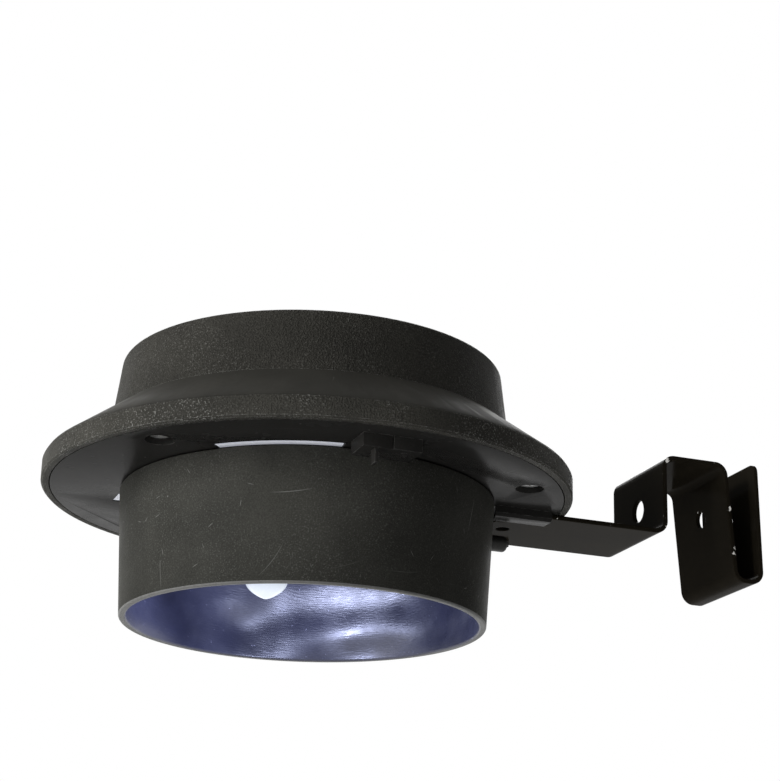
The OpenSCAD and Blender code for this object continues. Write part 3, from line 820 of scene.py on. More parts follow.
@dataclass(frozen=True)
class ClearSheet(Finish):
    """Clear gloss plastic with faint dust."""

    speck: Colour = (0.85, 0.85, 0.83, 1.0)
    specks: Patches = Patches(0.5, 5.0, (0.5, 0.8))
    refraction: float = 1.49
    dulled: float = 0.12
    skin: Relief = Relief(0.05, 0.02, 0.05, detail=1.0)

    def wire(self, surface: Surface) -> None:
        """Wires the clear body, dust and small ripples.

        Args:
            surface: Surface to wire.
        """
        specks = surface.patches(self.specks)
        surface.put({
            "Base Color": surface.blend(specks, self.colour, self.speck),
            "Transmission Weight": 1.0,
            "IOR": self.refraction,
            "Roughness": self.gloss(surface, specks, 0.0, self.dulled),
            "Normal": surface.embossed(self.skin)})


@dataclass(frozen=True)
class SiliconCell(Finish):
    """Dark blue polycrystalline silicon."""

    crystal: Colour = (0.03, 0.06, 0.17, 1.0)
    crystal_per_mm: float = 0.35
    dulled: float = 0.15
    etch: Relief = Relief(3.0, 0.005, 0.2)

    def wire(self, surface: Surface) -> None:
        """Wires the crystals, each with its own shade and gloss.

        Args:
            surface: Surface to wire.
        """
        shade = surface.cells(surface.place(), self.crystal_per_mm)[1][0]
        surface.put({
            "Base Color": surface.blend(shade, self.colour, self.crystal),
            "Roughness": self.gloss(surface, shade, 0.0, self.dulled),
            "Normal": surface.embossed(self.etch)})


class FinishBook:
    """Every material of the lamp, by its slot in the record."""

    def __init__(self) -> None:
        """Builds all materials."""
        plastic = MouldedPlastic
        finishes: dict[str, Finish] = {
            "housing_plastic": plastic(
                "housing_grain", (0.035, 0.034, 0.030, 1.0), 0.45, 0.016, (0.055, 0.053, 0.046, 1.0),
                # The housing's pale edges are partly wear and partly a painted edge highlight.
                worn=(0.30, 0.30, 0.28, 1.0), edge=(0.55, 0.55, 0.52, 1.0), mottle=1.6,
                # Painted light: below the smooth zone the band is painted paler and given more pale flecks,
                # standing in for light falling on it from below.
                grain=Relief(3.0, 0.34, 1.0), smooth_zone=(4.6, 14.7), low_pale=0.25, low_fleck=3.4,
                fleck=0.35, specks=0.5, scratches=0.12, edge_wear=1.0),
            "base_plastic": plastic(
                "base_satin", (0.023, 0.0225, 0.021, 1.0), 0.24, 0.013, (0.031, 0.030, 0.028, 1.0),
                grain=Relief(3.0, 0.012, 0.25), specks=0.4, scratches=0.12),
            "shade_plastic": plastic(
                "shade_satin", (0.036, 0.036, 0.032, 1.0), 0.42, 0.008, (0.064, 0.0635, 0.056, 1.0),
                mottle=1.0, grain=Relief(3.4, 0.07, 0.8), fleck=0.38,
                fleck_patches=Patches(0.06, 3.0, (0.38, 0.62)), specks=0.9, scratches=1.0),
            # Painted shade: the inside is the shade's own plastic, painted darker and tinted blue-violet by
            # the LED's light.
            "shade_inside": RippledGloss("shade_gloss_painted_shade", (0.007, 0.0075, 0.014, 1.0), 0.37, 0.55),
            # Painted highlight: the lip is the shade's own plastic, painted pale where light from below falls
            # on its rounded end.
            "shade_lip": plastic(
                "shade_lip", (0.16, 0.16, 0.155, 1.0), 0.4, 0.05, (0.22, 0.22, 0.21, 1.0), scratches=0.0),
            "bracket_paint": GlossPaint("bracket_paint", (0.019, 0.016, 0.011, 1.0), 0.14, 0.003),
            "zinc": PlatedMetal(
                "black_zinc", (0.10, 0.10, 0.105, 1.0), 0.24, 0.5, (0.60, 0.60, 0.59, 1.0),
                Patches(0.12, 4.0, (0.45, 0.55))),
            "cover_clear": ClearSheet("cover_clear", (0.92, 0.95, 0.97, 1.0), 0.03, 0.5),
            "cell_silicon": SiliconCell("cell_silicon", (0.010, 0.022, 0.075, 1.0), 0.25, 0.5),
            "foam": plastic(
                "foam_tape", (0.03, 0.03, 0.03, 1.0), 0.9, 0.1, grain=Relief(1.5, 0.08, 0.4),
                scratches=0.0),
            "gasket_rubber": plastic("gasket_rubber", (0.02, 0.02, 0.02, 1.0), 0.8, 0.2),
            "holder_plastic": plastic("holder_satin", (0.030, 0.030, 0.028, 1.0), 0.35, 0.12),
            "led_epoxy": LitEpoxy("led_epoxy", (0.25, 0.27, 0.3, 1.0), 0.15, 0.3),
            "white_plastic": plastic(
                "white_carrier", (0.80, 0.81, 0.86, 1.0), 0.45, 0.4, (0.74, 0.76, 0.84, 1.0),
                # Painted glow: the white carrier gives off light though it is no lamp, standing in for the
                # LED's light inside the housing.
                worn=(0.6, 0.6, 0.58, 1.0), glow=0.28),
            "tinned": PlatedMetal("tinned_leg", (0.78, 0.79, 0.80, 1.0), 0.25, 0.5),
            "board_green": plastic(
                "solder_mask", (0.015, 0.10, 0.04, 1.0), 0.3, 0.5, (0.02, 0.15, 0.06, 1.0)),
            "chip_black": plastic("chip_epoxy", (0.02, 0.02, 0.02, 1.0), 0.6, 0.3),
            "inductor_green": plastic(
                "coil_coat", (0.04, 0.20, 0.07, 1.0), 0.35, 0.5, (0.06, 0.26, 0.1, 1.0)),
            "tray_plastic": plastic("tray_white", (0.70, 0.70, 0.69, 1.0), 0.5, 0.4, (0.64, 0.64, 0.62, 1.0)),
            "battery_wrap": plastic(
                "battery_sleeve", (0.02, 0.20, 0.08, 1.0), 0.25, 0.5, (0.03, 0.25, 0.1, 1.0)),
            "nickel": PlatedMetal("nickel_spring", (0.75, 0.74, 0.70, 1.0), 0.28, 0.5),
            "knob_plastic": plastic("knob_nylon", (0.02, 0.02, 0.02, 1.0), 0.55, 0.3),
            "lead_red": plastic("lead_red", (0.45, 0.02, 0.02, 1.0), 0.4, 0.4, (0.5, 0.03, 0.03, 1.0)),
            "lead_black": plastic("lead_black", (0.02, 0.02, 0.02, 1.0), 0.4, 0.4),
        }
        self.materials = {slot: finish.build() for slot, finish in finishes.items()}

    def __getitem__(self, slot: str) -> bpy.types.Material:
        """Material of a slot."""
        return self.materials[slot]


def round_edges(obj: bpy.types.Object, width: float, steps: int, angle: float) -> bpy.types.Modifier:
    """Rounds an object's sharp edges by a modifier.

    Args:
        obj: Object to round.
        width: Width of the rounding, in the object's own unit.
        steps: Number of faces across it.
        angle: Angle, in degrees, from which an edge is sharp.

    Returns:
        The new modifier.
    """
    rounding = obj.modifiers.new("edges", "BEVEL")
    rounding.width = width
    rounding.segments = steps
    rounding.limit_method = "ANGLE"
    rounding.angle_limit = math.radians(angle)
    return rounding


@dataclass
class RoundedCopy:
    """Copy of a CAD node with its sharp edges rounded a little and marked as worn; the housing's finish
    paints this mark as wear and as an edge highlight. Angles in degrees.
    """

    frame: dict
    book: FinishBook
    flat_angle: float = 0.5
    sharp_angle: float = 38.0
    steps: int = 2

    def make(self, node: str, name: str, slot: str, width_mm: float) -> bpy.types.Object:
        """Makes the copy and lets it stand for the node.

        Args:
            node: CAD node of the lamp's body to copy.
            name: Name of the new piece.
            slot: Material slot of the record.
            width_mm: Width of the rounding.

        Returns:
            The new piece.
        """
        mesh = self.frame["nodes"][node].data.copy()
        mesh.materials.clear()
        for _ in range(2):
            mesh.materials.append(self.book[slot])
        work = bmesh.new()
        work.from_mesh(mesh)
        bmesh.ops.remove_doubles(work, verts=work.verts, dist=CAD_MERGE_M)
        limit = math.radians(self.flat_angle)
        bmesh.ops.dissolve_limit(work, angle_limit=limit, verts=work.verts, edges=work.edges)
        for face in work.faces:
            face.material_index = 0
        work.to_mesh(mesh)
        work.free()
        carrier = linked(bpy.data.objects.new(name + "_work", mesh))
        round_edges(carrier, width_mm * MM, self.steps, self.sharp_angle).material = 1
        result = baked(carrier, name)
        worn = result.attributes.new("wear", "FLOAT", "FACE")
        for face in result.polygons:
            worn.data[face.index].value = float(face.material_index)
            face.material_index = 0
        result.materials.pop(index=1)
        return place_piece(smooth(result), name, Body.LAMP, [node])


@dataclass
class SubAssembly:
    """A part of the lamp, with the materials and the lathe that its pieces need."""

    book: FinishBook
    lathe: Lathe

    def build(self) -> None:
        """Builds and dresses the pieces."""
        raise NotImplementedError

    def place(self, mesh: bpy.types.Mesh, name: str, body: Body, slot: str, replaced: Sequence[str] = (),
              spot: Matrix = AT_AXIS, angle: float = SMOOTH_ANGLE) -> bpy.types.Object:
        """Puts a mesh in its place, with the slot's material where it has none yet.

        Args:
            mesh: Mesh round the lamp's axis, in millimetres.
            name: Name of the piece.
            body: Body that it rides on.
            slot: Material slot of the record.
            replaced: CAD nodes that it stands for.
            spot: Where the mesh lies, from the lamp's axis.
            angle: Widest edge angle, in degrees, that still looks smooth.

        Returns:
            The new object.
        """
        if len(mesh.materials) == 0:
            mesh.materials.append(self.book[slot])
        mesh.transform(LAMP_PLACE @ spot)
        return place_piece(smooth(mesh, angle), name, body, replaced)


class WallFace(Enum):
    """Finishes of the shade's wall, by their place in its list of materials."""

    OUTSIDE = 0
    INSIDE = 1
    PAINTED_LIT_LIP = 2


@dataclass
class ShadeAssembly(SubAssembly):
    """The twist-on shade: its wall, its two catch tabs and its thumb peg. Sizes in millimetres."""

    top_r: float = 40.6
    mouth_r: float = 39.1
    length: float = 27.9
    wall: float = 1.6
    gap: float = 0.4
    lip_round: float = 0.5
    # Lip faces that take the pale lip finish, a painted highlight: those within lip_height shares of the
    # lip's rounding above the mouth, and further out than lip_inset shares of it from the inner wall.
    lip_height: float = 0.9
    lip_inset: float = 0.6
    edge_round: float = 0.25
    edge_steps: int = 4
    rows: int = 14
    segments: int = 256
    smooth_angle: float = 50.0
    peg_r: float = 1.8
    peg_round: float = 0.9
    peg_reach: float = 47.0
    peg_z: float = -4.6
    peg_segments: int = 48
    tab_reach: float = 44.8
    tab_from: float = -4.29
    tab_angle: float = 10.7
    tab_z: Pair = (-1.6, -0.5)
    tab_sides: Pair = (-90.0, 90.0)
    tab_steps: int = 8
    tab_round: float = 0.15
    tab_round_steps: int = 2
    tab_sharp: float = 60.0

    def profile(self) -> list[Pair]:
        """Closed profile of the wall, from the top edge's inner corner and round.

        Returns:
            Radius and height of each point, the first one again at the end.
        """
        turn, lip = self.edge_round, self.lip_round
        top, low = -self.gap - turn, -self.length + lip
        inner_top, inner_low = self.top_r - self.wall, self.mouth_r - self.wall
        points = between((inner_top, top), (inner_low, low), self.rows)
        points += arc((inner_low + lip, low), lip, 180, 270)
        points += arc((self.mouth_r - lip, low), lip, 270, 360)
        points += between((self.mouth_r, low), (self.top_r, top), self.rows)[1:]
        points += arc((self.top_r - turn, top), turn, 0, 90, self.edge_steps)
        points += arc((inner_top + turn, top), turn, 90, 180, self.edge_steps)
        return points[:-1] + [points[0]]

    def wall_face(self, centre: Vector) -> WallFace:
        """Finish of one face of the wall.

        Args:
            centre: Middle of the face, round the lamp's axis.

        Returns:
            The face's finish.
        """
        radius = math.hypot(centre.x, centre.y)
        middle_r = self.top_r + (self.mouth_r - self.top_r) * -centre.z / self.length - self.wall / 2
        lip = centre.z < -self.length + self.lip_height * self.lip_round
        # Outer lip faces take the pale finish, a painted highlight.
        if lip and radius > self.mouth_r - self.wall + self.lip_inset * self.lip_round:
            return WallFace.PAINTED_LIT_LIP
        # Inner faces take the darker, blue-tinted finish: painted shade and a painted tint of the LED's
        # light.
        if radius < middle_r and centre.z < -self.gap - self.edge_round:
            return WallFace.INSIDE
        return WallFace.OUTSIDE

    def build(self) -> None:
        """Builds and dresses the shade."""
        wall = self.lathe.turn(self.profile(), "shade_wall", self.book["shade_plastic"], self.segments)
        # Inside finish: a darker, blue-tinted copy of the shade's plastic, painted shade and a painted tint
        # of the LED's light.
        wall.materials.append(self.book["shade_inside"])
        # Pale lip finish: a painted highlight on the shade's own plastic.
        wall.materials.append(self.book["shade_lip"])
        for face in wall.polygons:
            face.material_index = self.wall_face(face.center).value
        self.place(wall, "shade_wall", Body.SHADE, "shade_plastic", ["shade"], angle=self.smooth_angle)
        self.peg()
        self.tabs()

    def peg(self) -> None:
        """Turns the thumb peg and lays it along the arm."""
        root = self.top_r - self.wall / 2
        length = self.peg_reach - root
        profile = [(0.0, 0.0), (self.peg_r, 0.0), (self.peg_r, length / 2)]
        profile += arc((self.peg_r - self.peg_round, length - self.peg_round), self.peg_round, 0, 90)
        profile += [(0.0, length)]
        mesh = self.lathe.turn(profile, "thumb_peg", self.book["holder_plastic"], self.peg_segments)
        laid = Matrix.Translation((root, 0.0, self.peg_z)) @ Matrix.Rotation(math.pi / 2, 4, "Y")
        self.place(mesh, "thumb_peg", Body.SHADE, "shade_plastic", spot=laid)

    def tabs(self) -> None:
        """Makes the two catch tabs, curved plates with rounded edges."""
        (low, high), inner = self.tab_z, self.top_r - self.wall / 2
        section = ((inner, low), (self.tab_reach, low), (self.tab_reach, high), (inner, high))
        work = bmesh.new()
        for side in self.tab_sides:
            rings = []
            for i in range(self.tab_steps + 1):
                a = math.radians(side + self.tab_from + self.tab_angle * i / self.tab_steps)
                rings.append([work.verts.new((r * math.cos(a), r * math.sin(a), z)) for r, z in section])
            for first, second in zip(rings, rings[1:]):
                for j in range(len(section)):
                    k = (j + 1) % len(section)
                    work.faces.new((first[j], first[k], second[k], second[j]))
            work.faces.new(rings[0])
            work.faces.new(rings[-1][::-1])
        sharp = [e for e in work.edges if e.calc_face_angle(0.0) > math.radians(self.tab_sharp)]
        bmesh.ops.bevel(work, geom=sharp, offset=self.tab_round, segments=self.tab_round_steps,
                        affect="EDGES", profile=0.5)
        self.place(worked(work, "catch_tabs"), "catch_tabs", Body.SHADE, "shade_plastic")


@dataclass
class HookBracket(SubAssembly):
    """The bent steel strip, made flat with its holes and then bent along its line. Sizes in millimetres."""

    width: float = 25.0
    thick: float = 1.0
    bend_r: float = 2.5
    bend_steps: int = 12
    bend_clear: float = 1.0
    end_round: float = 2.0
    end_steps: int = 6
    edge_round: float = 0.16
    edge_steps: int = 3
    edge_angle: float = 40.0
    side_step: float = 2.0
    rim: float = 0.45
    hole_z: float = 7.2
    hole_steps: int = 48
    steep: float = 0.5
    merge_mm: float = 1e-5
    face_slack: float = 1e-4
    wear_slack: float = 0.02
    corners: tuple[Pair, ...] = (
        (42.0, -0.58), (81.0, -0.58), (81.0, 17.1), (96.6, 17.1), (98.812, -9.8), (105.293, -9.8),
        (104.7, 18.5))
    upright_holes: tuple[tuple[int, float], ...] = ((1, 2.6), (3, 2.0), (5, 1.7))
    tongue_hole: Pair = (4.2, 1.5)
    line: list[tuple[float, Vector, Vector]] = field(default_factory=list)

    def trace(self) -> dict[int, float]:
        """Traces the strip's middle line through its bends.

        Returns:
            Length along the strip at which each upright passes the holes' height, by the upright's number.
        """
        points = [Vector(c) for c in self.corners]
        last = len(points) - 1
        crossings: dict[int, float] = {}
        run, start = 0.0, points[0]
        for i in range(last):
            way = (points[i + 1] - points[i]).normalized()
            take, turn, side = 0.0, 0.0, 0.0
            if i + 1 < last:
                after = (points[i + 2] - points[i + 1]).normalized()
                turn = way.angle(after)
                take = self.bend_r * math.tan(turn / 2)
                side = 1.0 if way.x * after.y - way.y * after.x > 0 else -1.0
            end = points[i + 1] - way * take
            normal = Vector((-way.y, way.x))
            self.line.append((run, start.copy(), normal))
            if abs(way.y) > self.steep and min(start.y, end.y) < self.hole_z < max(start.y, end.y):
                crossings[i] = run + (self.hole_z - start.y) / way.y
            run += (end - start).length
            self.line.append((run, end.copy(), normal))
            if i + 1 < last:
                centre = end + normal * side * self.bend_r
                for k in range(1, self.bend_steps + 1):
                    a = turn * k / self.bend_steps
                    spun = Matrix.Rotation(side * a, 2)
                    self.line.append((run + self.bend_r * a, centre + spun @ (end - centre), spun @ normal))
                run += self.bend_r * turn
                start = self.line[-1][1]
        return crossings

    def bent(self, run: float, across: float, out: float) -> Vector:
        """Place of a point of the flat strip once it is bent.

        Args:
            run: Length along the strip.
            across: Distance across it from its middle.
            out: Distance from its middle plane.

        Returns:
            The point round the lamp's axis.
        """
        for (s0, p0, n0), (s1, p1, n1) in zip(self.line, self.line[1:]):
            if run <= s1 or s1 == self.line[-1][0]:
                short = s1 - s0 < SAME_MM
                if short and run < s1:
                    continue
                t = 0.0 if short else (run - s0) / (s1 - s0)
                place = p0.lerp(p1, t) + n0.lerp(n1, t).normalized() * out
                return Vector((place.x, across, place.y))
        return Vector((self.corners[-1][0], across, self.corners[-1][1]))

    def outline(self, inset: float, length: float) -> list[Pair]:
        """Outline of the flat strip, set in from its edge.

        Args:
            inset: How far it is set in.
            length: Length of the strip.

        Returns:
            The outline's points, round from the inner end's first corner.
        """
        half, turn = self.width / 2 - inset, self.end_round - inset
        near, far = inset, length - inset - turn
        steps = max(1, int((length - 2 * self.end_round) / self.side_step))
        points = between((near, -half), (far, -half), steps)
        points += arc((far, -half + turn), turn, 270, 360, self.end_steps)
        points += arc((far, half - turn), turn, 0, 90, self.end_steps)
        points += between((far, half), (near, half), steps)[1:]
        return points + [(near, half)]

    def holes(self, crossings: dict[int, float]) -> list[Pair]:
        """Length along the strip and radius of every hole, from the crossings of the uprights."""
        return [(crossings[i], radius) for i, radius in self.upright_holes] + [self.tongue_hole]

    def corner_reach(self, place: Vector) -> float:
        """Distance of a point of the flat strip from the middle of its end's corner round.

        Args:
            place: The point.

        Returns:
            The distance, or 0 for a point that lies in neither corner.
        """
        x = place.x - (self.line[-1][0] - self.end_round)
        y = abs(place.y) - (self.width / 2 - self.end_round)
        return math.hypot(x, y) if x > 0 and y > 0 else 0.0

    def on_strip(self, place: Vector, holes: Sequence[Pair]) -> bool:
        """Tells whether a point lies on the flat strip and in no hole.

        Args:
            place: The point.
            holes: Length along the strip and radius of every hole.

        Returns:
            True where there is steel.
        """
        if not (0 < place.x < self.line[-1][0] and abs(place.y) < self.width / 2):
            return False
        clear = all((place - Vector((run, 0.0))).length > radius for run, radius in holes)
        return clear and self.corner_reach(place) <= self.end_round

    def edge_gap(self, place: Vector, holes: Sequence[Pair]) -> float:
        """Distance of a point of the flat strip from its nearest edge.

        Args:
            place: The point.
            holes: Length along the strip and radius of every hole.

        Returns:
            The distance, held at the corner round's radius.
        """
        gaps = [place.x, self.line[-1][0] - place.x, self.width / 2 - abs(place.y)]
        gaps += [math.hypot(place.x - run, place.y) - radius for run, radius in holes]
        return min(gaps + [self.end_round - self.corner_reach(place)])

    def flat(self, holes: Sequence[Pair]) -> bpy.types.Mesh:
        """Flat strip with its holes, as faces in one plane.

        Args:
            holes: Length along the strip and radius of every hole.

        Returns:
            The flat mesh.
        """
        length, half = self.line[-1][0], self.width / 2
        loops = [self.outline(0.0, length), self.outline(self.rim, length)]
        for run, radius in holes:
            for r in (radius, radius + self.rim):
                loops.append(arc((run, 0.0), r, 0, 360, self.hole_steps)[:-1])
        points: list[Vector] = []
        edges: list[tuple[int, int]] = []
        for loop in loops:
            base, count = len(points), len(loop)
            points += [Vector(place) for place in loop]
            edges += [(base + i, base + (i + 1) % count) for i in range(count)]
        for run, _, _ in self.line[1:-1]:
            if all(abs(run - place) > radius + self.bend_clear for place, radius in holes):
                edges.append((len(points), len(points) + 1))
                points += [Vector((run, -half)), Vector((run, half))]
        places, _, faces = delaunay_2d_cdt(points, edges, [], 0, self.merge_mm)[:3]
        kept = []
        for face in faces:
            centre = sum((places[v] for v in face), Vector((0.0, 0.0))) / len(face)
            if self.on_strip(centre, holes):
                kept.append(list(face))
        mesh = bpy.data.meshes.new("bracket_flat")
        mesh.from_pydata([(v.x, v.y, 0.0) for v in places], [], kept)
        return mesh

    def build(self) -> None:
        """Builds, bends and dresses the strip."""
        holes = self.holes(self.trace())
        work = linked(bpy.data.objects.new("bracket_work", self.flat(holes)))
        thicken = work.modifiers.new("thickness", "SOLIDIFY")
        thicken.thickness = self.thick
        thicken.offset = 0.0
        round_edges(work, self.edge_round, self.edge_steps, self.edge_angle)
        mesh = baked(work, "hook_bracket")
        worn = mesh.attributes.new("wear", "FLOAT", "POINT")
        for vertex in mesh.vertices:
            flat = abs(vertex.co.z) > self.thick / 2 - self.face_slack
            inner = self.edge_gap(vertex.co, holes) > self.edge_round + self.wear_slack
            worn.data[vertex.index].value = 0.0 if flat and inner else 1.0
            vertex.co = self.bent(*vertex.co)
        self.place(mesh, "hook_bracket", Body.BRACKET, "bracket_paint", ["bracket"])


@dataclass
class LedUnit(SubAssembly):
    """The LED and its light. Sizes in millimetres."""

    x: float = -8.5
    radius: float = 4.5
    tip_z: float = -22.9
    seat_z: float = -9.0
    seat_edge: Pair = (0.2, 0.3)
    dome: float = 3.8
    dome_steps: int = 28
    tip_round: float = 0.16
    segments: int = 96
    power: float = 0.2
    light_colour: Point = (0.62, 0.68, 1.0)
    light_r: float = 2.5

    def build(self) -> None:
        """Turns the LED with its drawn-out tip."""
        full = math.sqrt(1.0 - self.tip_round)
        profile = []
        for i in range(self.dome_steps + 1):
            share = math.sin(math.pi / 2 * i / self.dome_steps)
            blunt = math.sqrt(share ** 2 + self.tip_round ** 2 * (1.0 - share ** 2))
            rise = (full - math.sqrt(max(0.0, 1.0 - blunt))) / full
            profile.append((self.radius * share, self.tip_z + self.dome * rise))
        inset, height = self.seat_edge
        profile += [(self.radius, self.seat_z - height), (self.radius - inset, self.seat_z),
                    (0.0, self.seat_z)]
        mesh = self.lathe.turn(profile, "led_bulb", self.book["led_epoxy"], self.segments)
        spot = Matrix.Translation((self.x, 0.0, 0.0))
        self.light(self.place(mesh, "led_bulb", Body.LAMP, "led_epoxy", ["led_lamp"], spot))

    def light(self, bulb: bpy.types.Object) -> None:
        """Light that the LED throws into the shade, from inside the bulb, which it leaves out.

        Args:
            bulb: The LED's own piece.
        """
        data = bpy.data.lights.new("led_light", "POINT")
        data.energy = self.power
        data.color = self.light_colour
        data.shadow_soft_size = self.light_r * MM
        obj = linked(bpy.data.objects.new("led_light", data))
        obj.matrix_world = Matrix.Translation(lamp_point(self.x, 0.0, self.tip_z + self.dome))
        left_out = bpy.data.collections.new("led_light_left_out")
        left_out.objects.link(bulb)
        left_out.collection_objects[0].light_linking.link_state = "EXCLUDE"
        obj.light_linking.receiver_collection = left_out
        obj.light_linking.blocker_collection = left_out


class ScrewRing(GeometryRecipe):
    """Repeats one screw at the four holes of the base plate, each turned by a random amount."""

    # Screws 0 and 1 are the rear pair, 2 and 3 the front pair. The odd ones lie away from the hook.
    COUNT = 4

    def __init__(self) -> None:
        """Builds the tree."""
        super().__init__("screw_ring")
        wiring = self.wiring
        radius = self.size("Ring Radius")
        front = self.size("Front Angle")
        rear = self.size("Rear Angle")
        seed = self.size("Turn Seed", "NodeSocketInt")
        index = wiring.add("GeometryNodeInputIndex").outputs[0]
        at_front = wiring.maths("GREATER_THAN", index, 1.5)
        at_left = wiring.maths("MODULO", index, 2.0)
        lean = wiring.plus(wiring.times(at_front, wiring.minus(front, rear)), rear)
        side = wiring.minus(1.0, wiring.times(at_left, 2.0))
        height = wiring.minus(1.0, wiring.times(at_front, 2.0))
        x = wiring.times(radius, side, wiring.maths("COSINE", lean))
        y = wiring.times(radius, height, wiring.maths("SINE", lean))
        points = wiring.add("GeometryNodePoints", {"Count": self.COUNT, "Position": wiring.vector(x, y)})
        limits = {2: 0.0, 3: math.pi, "Seed": seed}
        turn = wiring.add("FunctionNodeRandomValue", limits, data_type="FLOAT").outputs[1]
        spin = wiring.vector(0.0, 0.0, turn)
        values = {"Points": points, "Instance": self.start.outputs[0], "Rotation": spin}
        self.close(wiring.add("GeometryNodeInstanceOnPoints", values))


@dataclass
class BaseScrews(SubAssembly):
    """The four screws of the base plate, with cross recesses and threads. Sizes in millimetres."""

    ring_r: float = 49.05
    front_angle: float = 35.0
    rear_angle: float = 57.0
    head_r: float = 2.75
    head_h: float = 1.2
    head_z: float = 1.1
    head_round: float = 0.6
    head_steps: int = 5
    shank_r: float = 1.45
    length: float = 5.4
    pitch: float = 1.2
    thread_from: float = 0.3
    thread_depth: float = 0.35
    thread_shape: Pair = (0.5, 0.9)
    sides: int = 32
    recess: Point = (3.0, 0.62, 1.5)
    recess_z: float = -0.05
    seed: int = 11

    def screw(self) -> bpy.types.Mesh:
        """Makes one screw, head down, with a recess cut into its head.

        Returns:
            The screw's mesh.
        """
        turn, root = self.head_round, self.shank_r - self.thread_depth
        profile = [(0.0, 0.0)] + arc((self.head_r - turn, turn), turn, -90, 0, self.head_steps)
        profile += [(self.head_r, self.head_h), (self.shank_r, self.head_h)]
        for k in range(int(self.length / self.pitch)):
            base = self.head_h + self.thread_from + k * self.pitch
            crest, foot = (base + self.pitch * share for share in self.thread_shape)
            profile += [(root, base), (self.shank_r, crest), (root, foot)]
        profile += [(0.0, self.head_h + self.length)]
        angles = [2 * math.pi * i / self.sides for i in range(self.sides)]
        work = bmesh.new()
        rows = []
        for r, z in profile:
            around = angles if r > 0 else [0.0]
            rows.append([work.verts.new((r * math.cos(a), r * math.sin(a), z)) for a in around])
        for low, high in zip(rows, rows[1:]):
            for i in range(self.sides):
                j = i + 1
                quad = [low[i % len(low)], low[j % len(low)], high[j % len(high)], high[i % len(high)]]
                work.faces.new(list(dict.fromkeys(quad)))
        return self.with_recess(worked(work, "screw_blank"))

    def with_recess(self, mesh: bpy.types.Mesh) -> bpy.types.Mesh:
        """Cuts the cross recess into the head.

        Args:
            mesh: Screw without its recess.

        Returns:
            The screw with the recess.
        """
        cutter = bmesh.new()
        for turn in (0.0, math.pi / 2):
            arm = Matrix.Rotation(turn, 4, "Z") @ Matrix.Diagonal((*self.recess, 1.0))
            bmesh.ops.create_cube(cutter, size=1.0, matrix=Matrix.Translation((0, 0, self.recess_z)) @ arm)
        body = linked(bpy.data.objects.new("screw_body", mesh))
        tool = linked(bpy.data.objects.new("recess_tool", worked(cutter, "recess_blade")))
        cut = body.modifiers.new("recess", "BOOLEAN")
        cut.object = tool
        cut.operation = "DIFFERENCE"
        cut.solver = "EXACT"
        cut.use_self = True
        result = baked(body, "base_screw")
        bpy.data.objects.remove(tool)
        return result

    def build(self) -> None:
        """Repeats the screw at its four holes."""
        values = {"Ring Radius": self.ring_r, "Front Angle": math.radians(self.front_angle),
                  "Rear Angle": math.radians(self.rear_angle), "Turn Seed": self.seed,
                  "Material": self.book["zinc"]}
        mesh = ScrewRing().run(self.screw(), "base_screw_set", values)
        spot = Matrix.Translation((0.0, 0.0, self.head_z))
        self.place(mesh, "base_screw_set", Body.LAMP, "zinc", ["base_screws"], spot)


class BarGrid(GeometryRecipe):
    """Lays equal bars side by side across the solar cell."""

    def __init__(self) -> None:
        """Builds the tree."""
        super().__init__("bar_grid")
        wiring = self.wiring
        count = self.size("Bars", "NodeSocketInt")
        span = self.size("Span")
        length = self.size("Bar Length")
        width = self.size("Bar Width")
        height = self.size("Bar Height")
        first = wiring.vector(0.0, wiring.times(span, -0.5))
        step = wiring.vector(0.0, wiring.maths("DIVIDE", span, wiring.minus(count, 1.0)))
        values = {"Count": count, "Start Location": first, "Offset": step}
        row = wiring.add("GeometryNodeMeshLine", values)
        bar = wiring.add("GeometryNodeMeshCube", {"Size": wiring.vector(length, width, height)})
        self.close(wiring.add("GeometryNodeInstanceOnPoints", {"Points": row, "Instance": bar}))


@dataclass(frozen=True)
class PrintedLines:
    """One set of silver lines on the solar cell. Its spread is a share of the cell's printed side."""

    name: str
    count: int
    width: float
    height: float
    spread: float
    turn: float


@dataclass
class SolarPanel(SubAssembly):
    """The panel in the drum's top: its cover and the lines printed on its cell. Sizes in millimetres."""

    side: float = 54.0
    cell_z: float = 26.7
    cell_t: float = 0.8
    cover_t: float = 0.6
    cover_round: float = 0.15
    cover_steps: int = 3
    margin: float = 2.0
    lift: float = 0.12
    line_z: float = 0.02
    lines: tuple[PrintedLines, ...] = (PrintedLines("cell_fingers", 34, 0.12, 0.03, 1.0, 0.0),
                                       PrintedLines("cell_busbars", 5, 0.9, 0.05, 0.84, 90.0))

    def build(self) -> None:
        """Builds the cover and the printed lines."""
        self.cover()
        recipe = BarGrid()
        span = self.side - 2 * self.margin
        raised = Matrix.Translation((0.0, 0.0, self.cell_z + self.cell_t + self.line_z))
        for lines in self.lines:
            values = {"Bars": lines.count, "Span": span * lines.spread, "Bar Length": span,
                      "Bar Width": lines.width, "Bar Height": lines.height, "Material": self.book["tinned"]}
            mesh = recipe.run(bpy.data.meshes.new("line_seed"), lines.name, values)
            spot = raised @ Matrix.Rotation(math.radians(lines.turn), 4, "Z")
            self.place(mesh, lines.name, Body.LAMP, "tinned", spot=spot)

    def cover(self) -> None:
        """Makes the clear cover with rounded edges, just above the cell."""
        work = bmesh.new()
        thick = self.cover_t - self.lift
        middle = self.cell_z + self.cell_t + self.lift + thick / 2
        size = Matrix.Diagonal((self.side, self.side, thick, 1.0))
        bmesh.ops.create_cube(work, size=1.0, matrix=Matrix.Translation((0, 0, middle)) @ size)
        bmesh.ops.bevel(work, geom=work.edges[:], offset=self.cover_round, segments=self.cover_steps,
                        affect="EDGES", profile=0.5)
        mesh = worked(work, "panel_window")
        self.place(mesh, "panel_window", Body.LAMP, "cover_clear", ["panel_cover"])


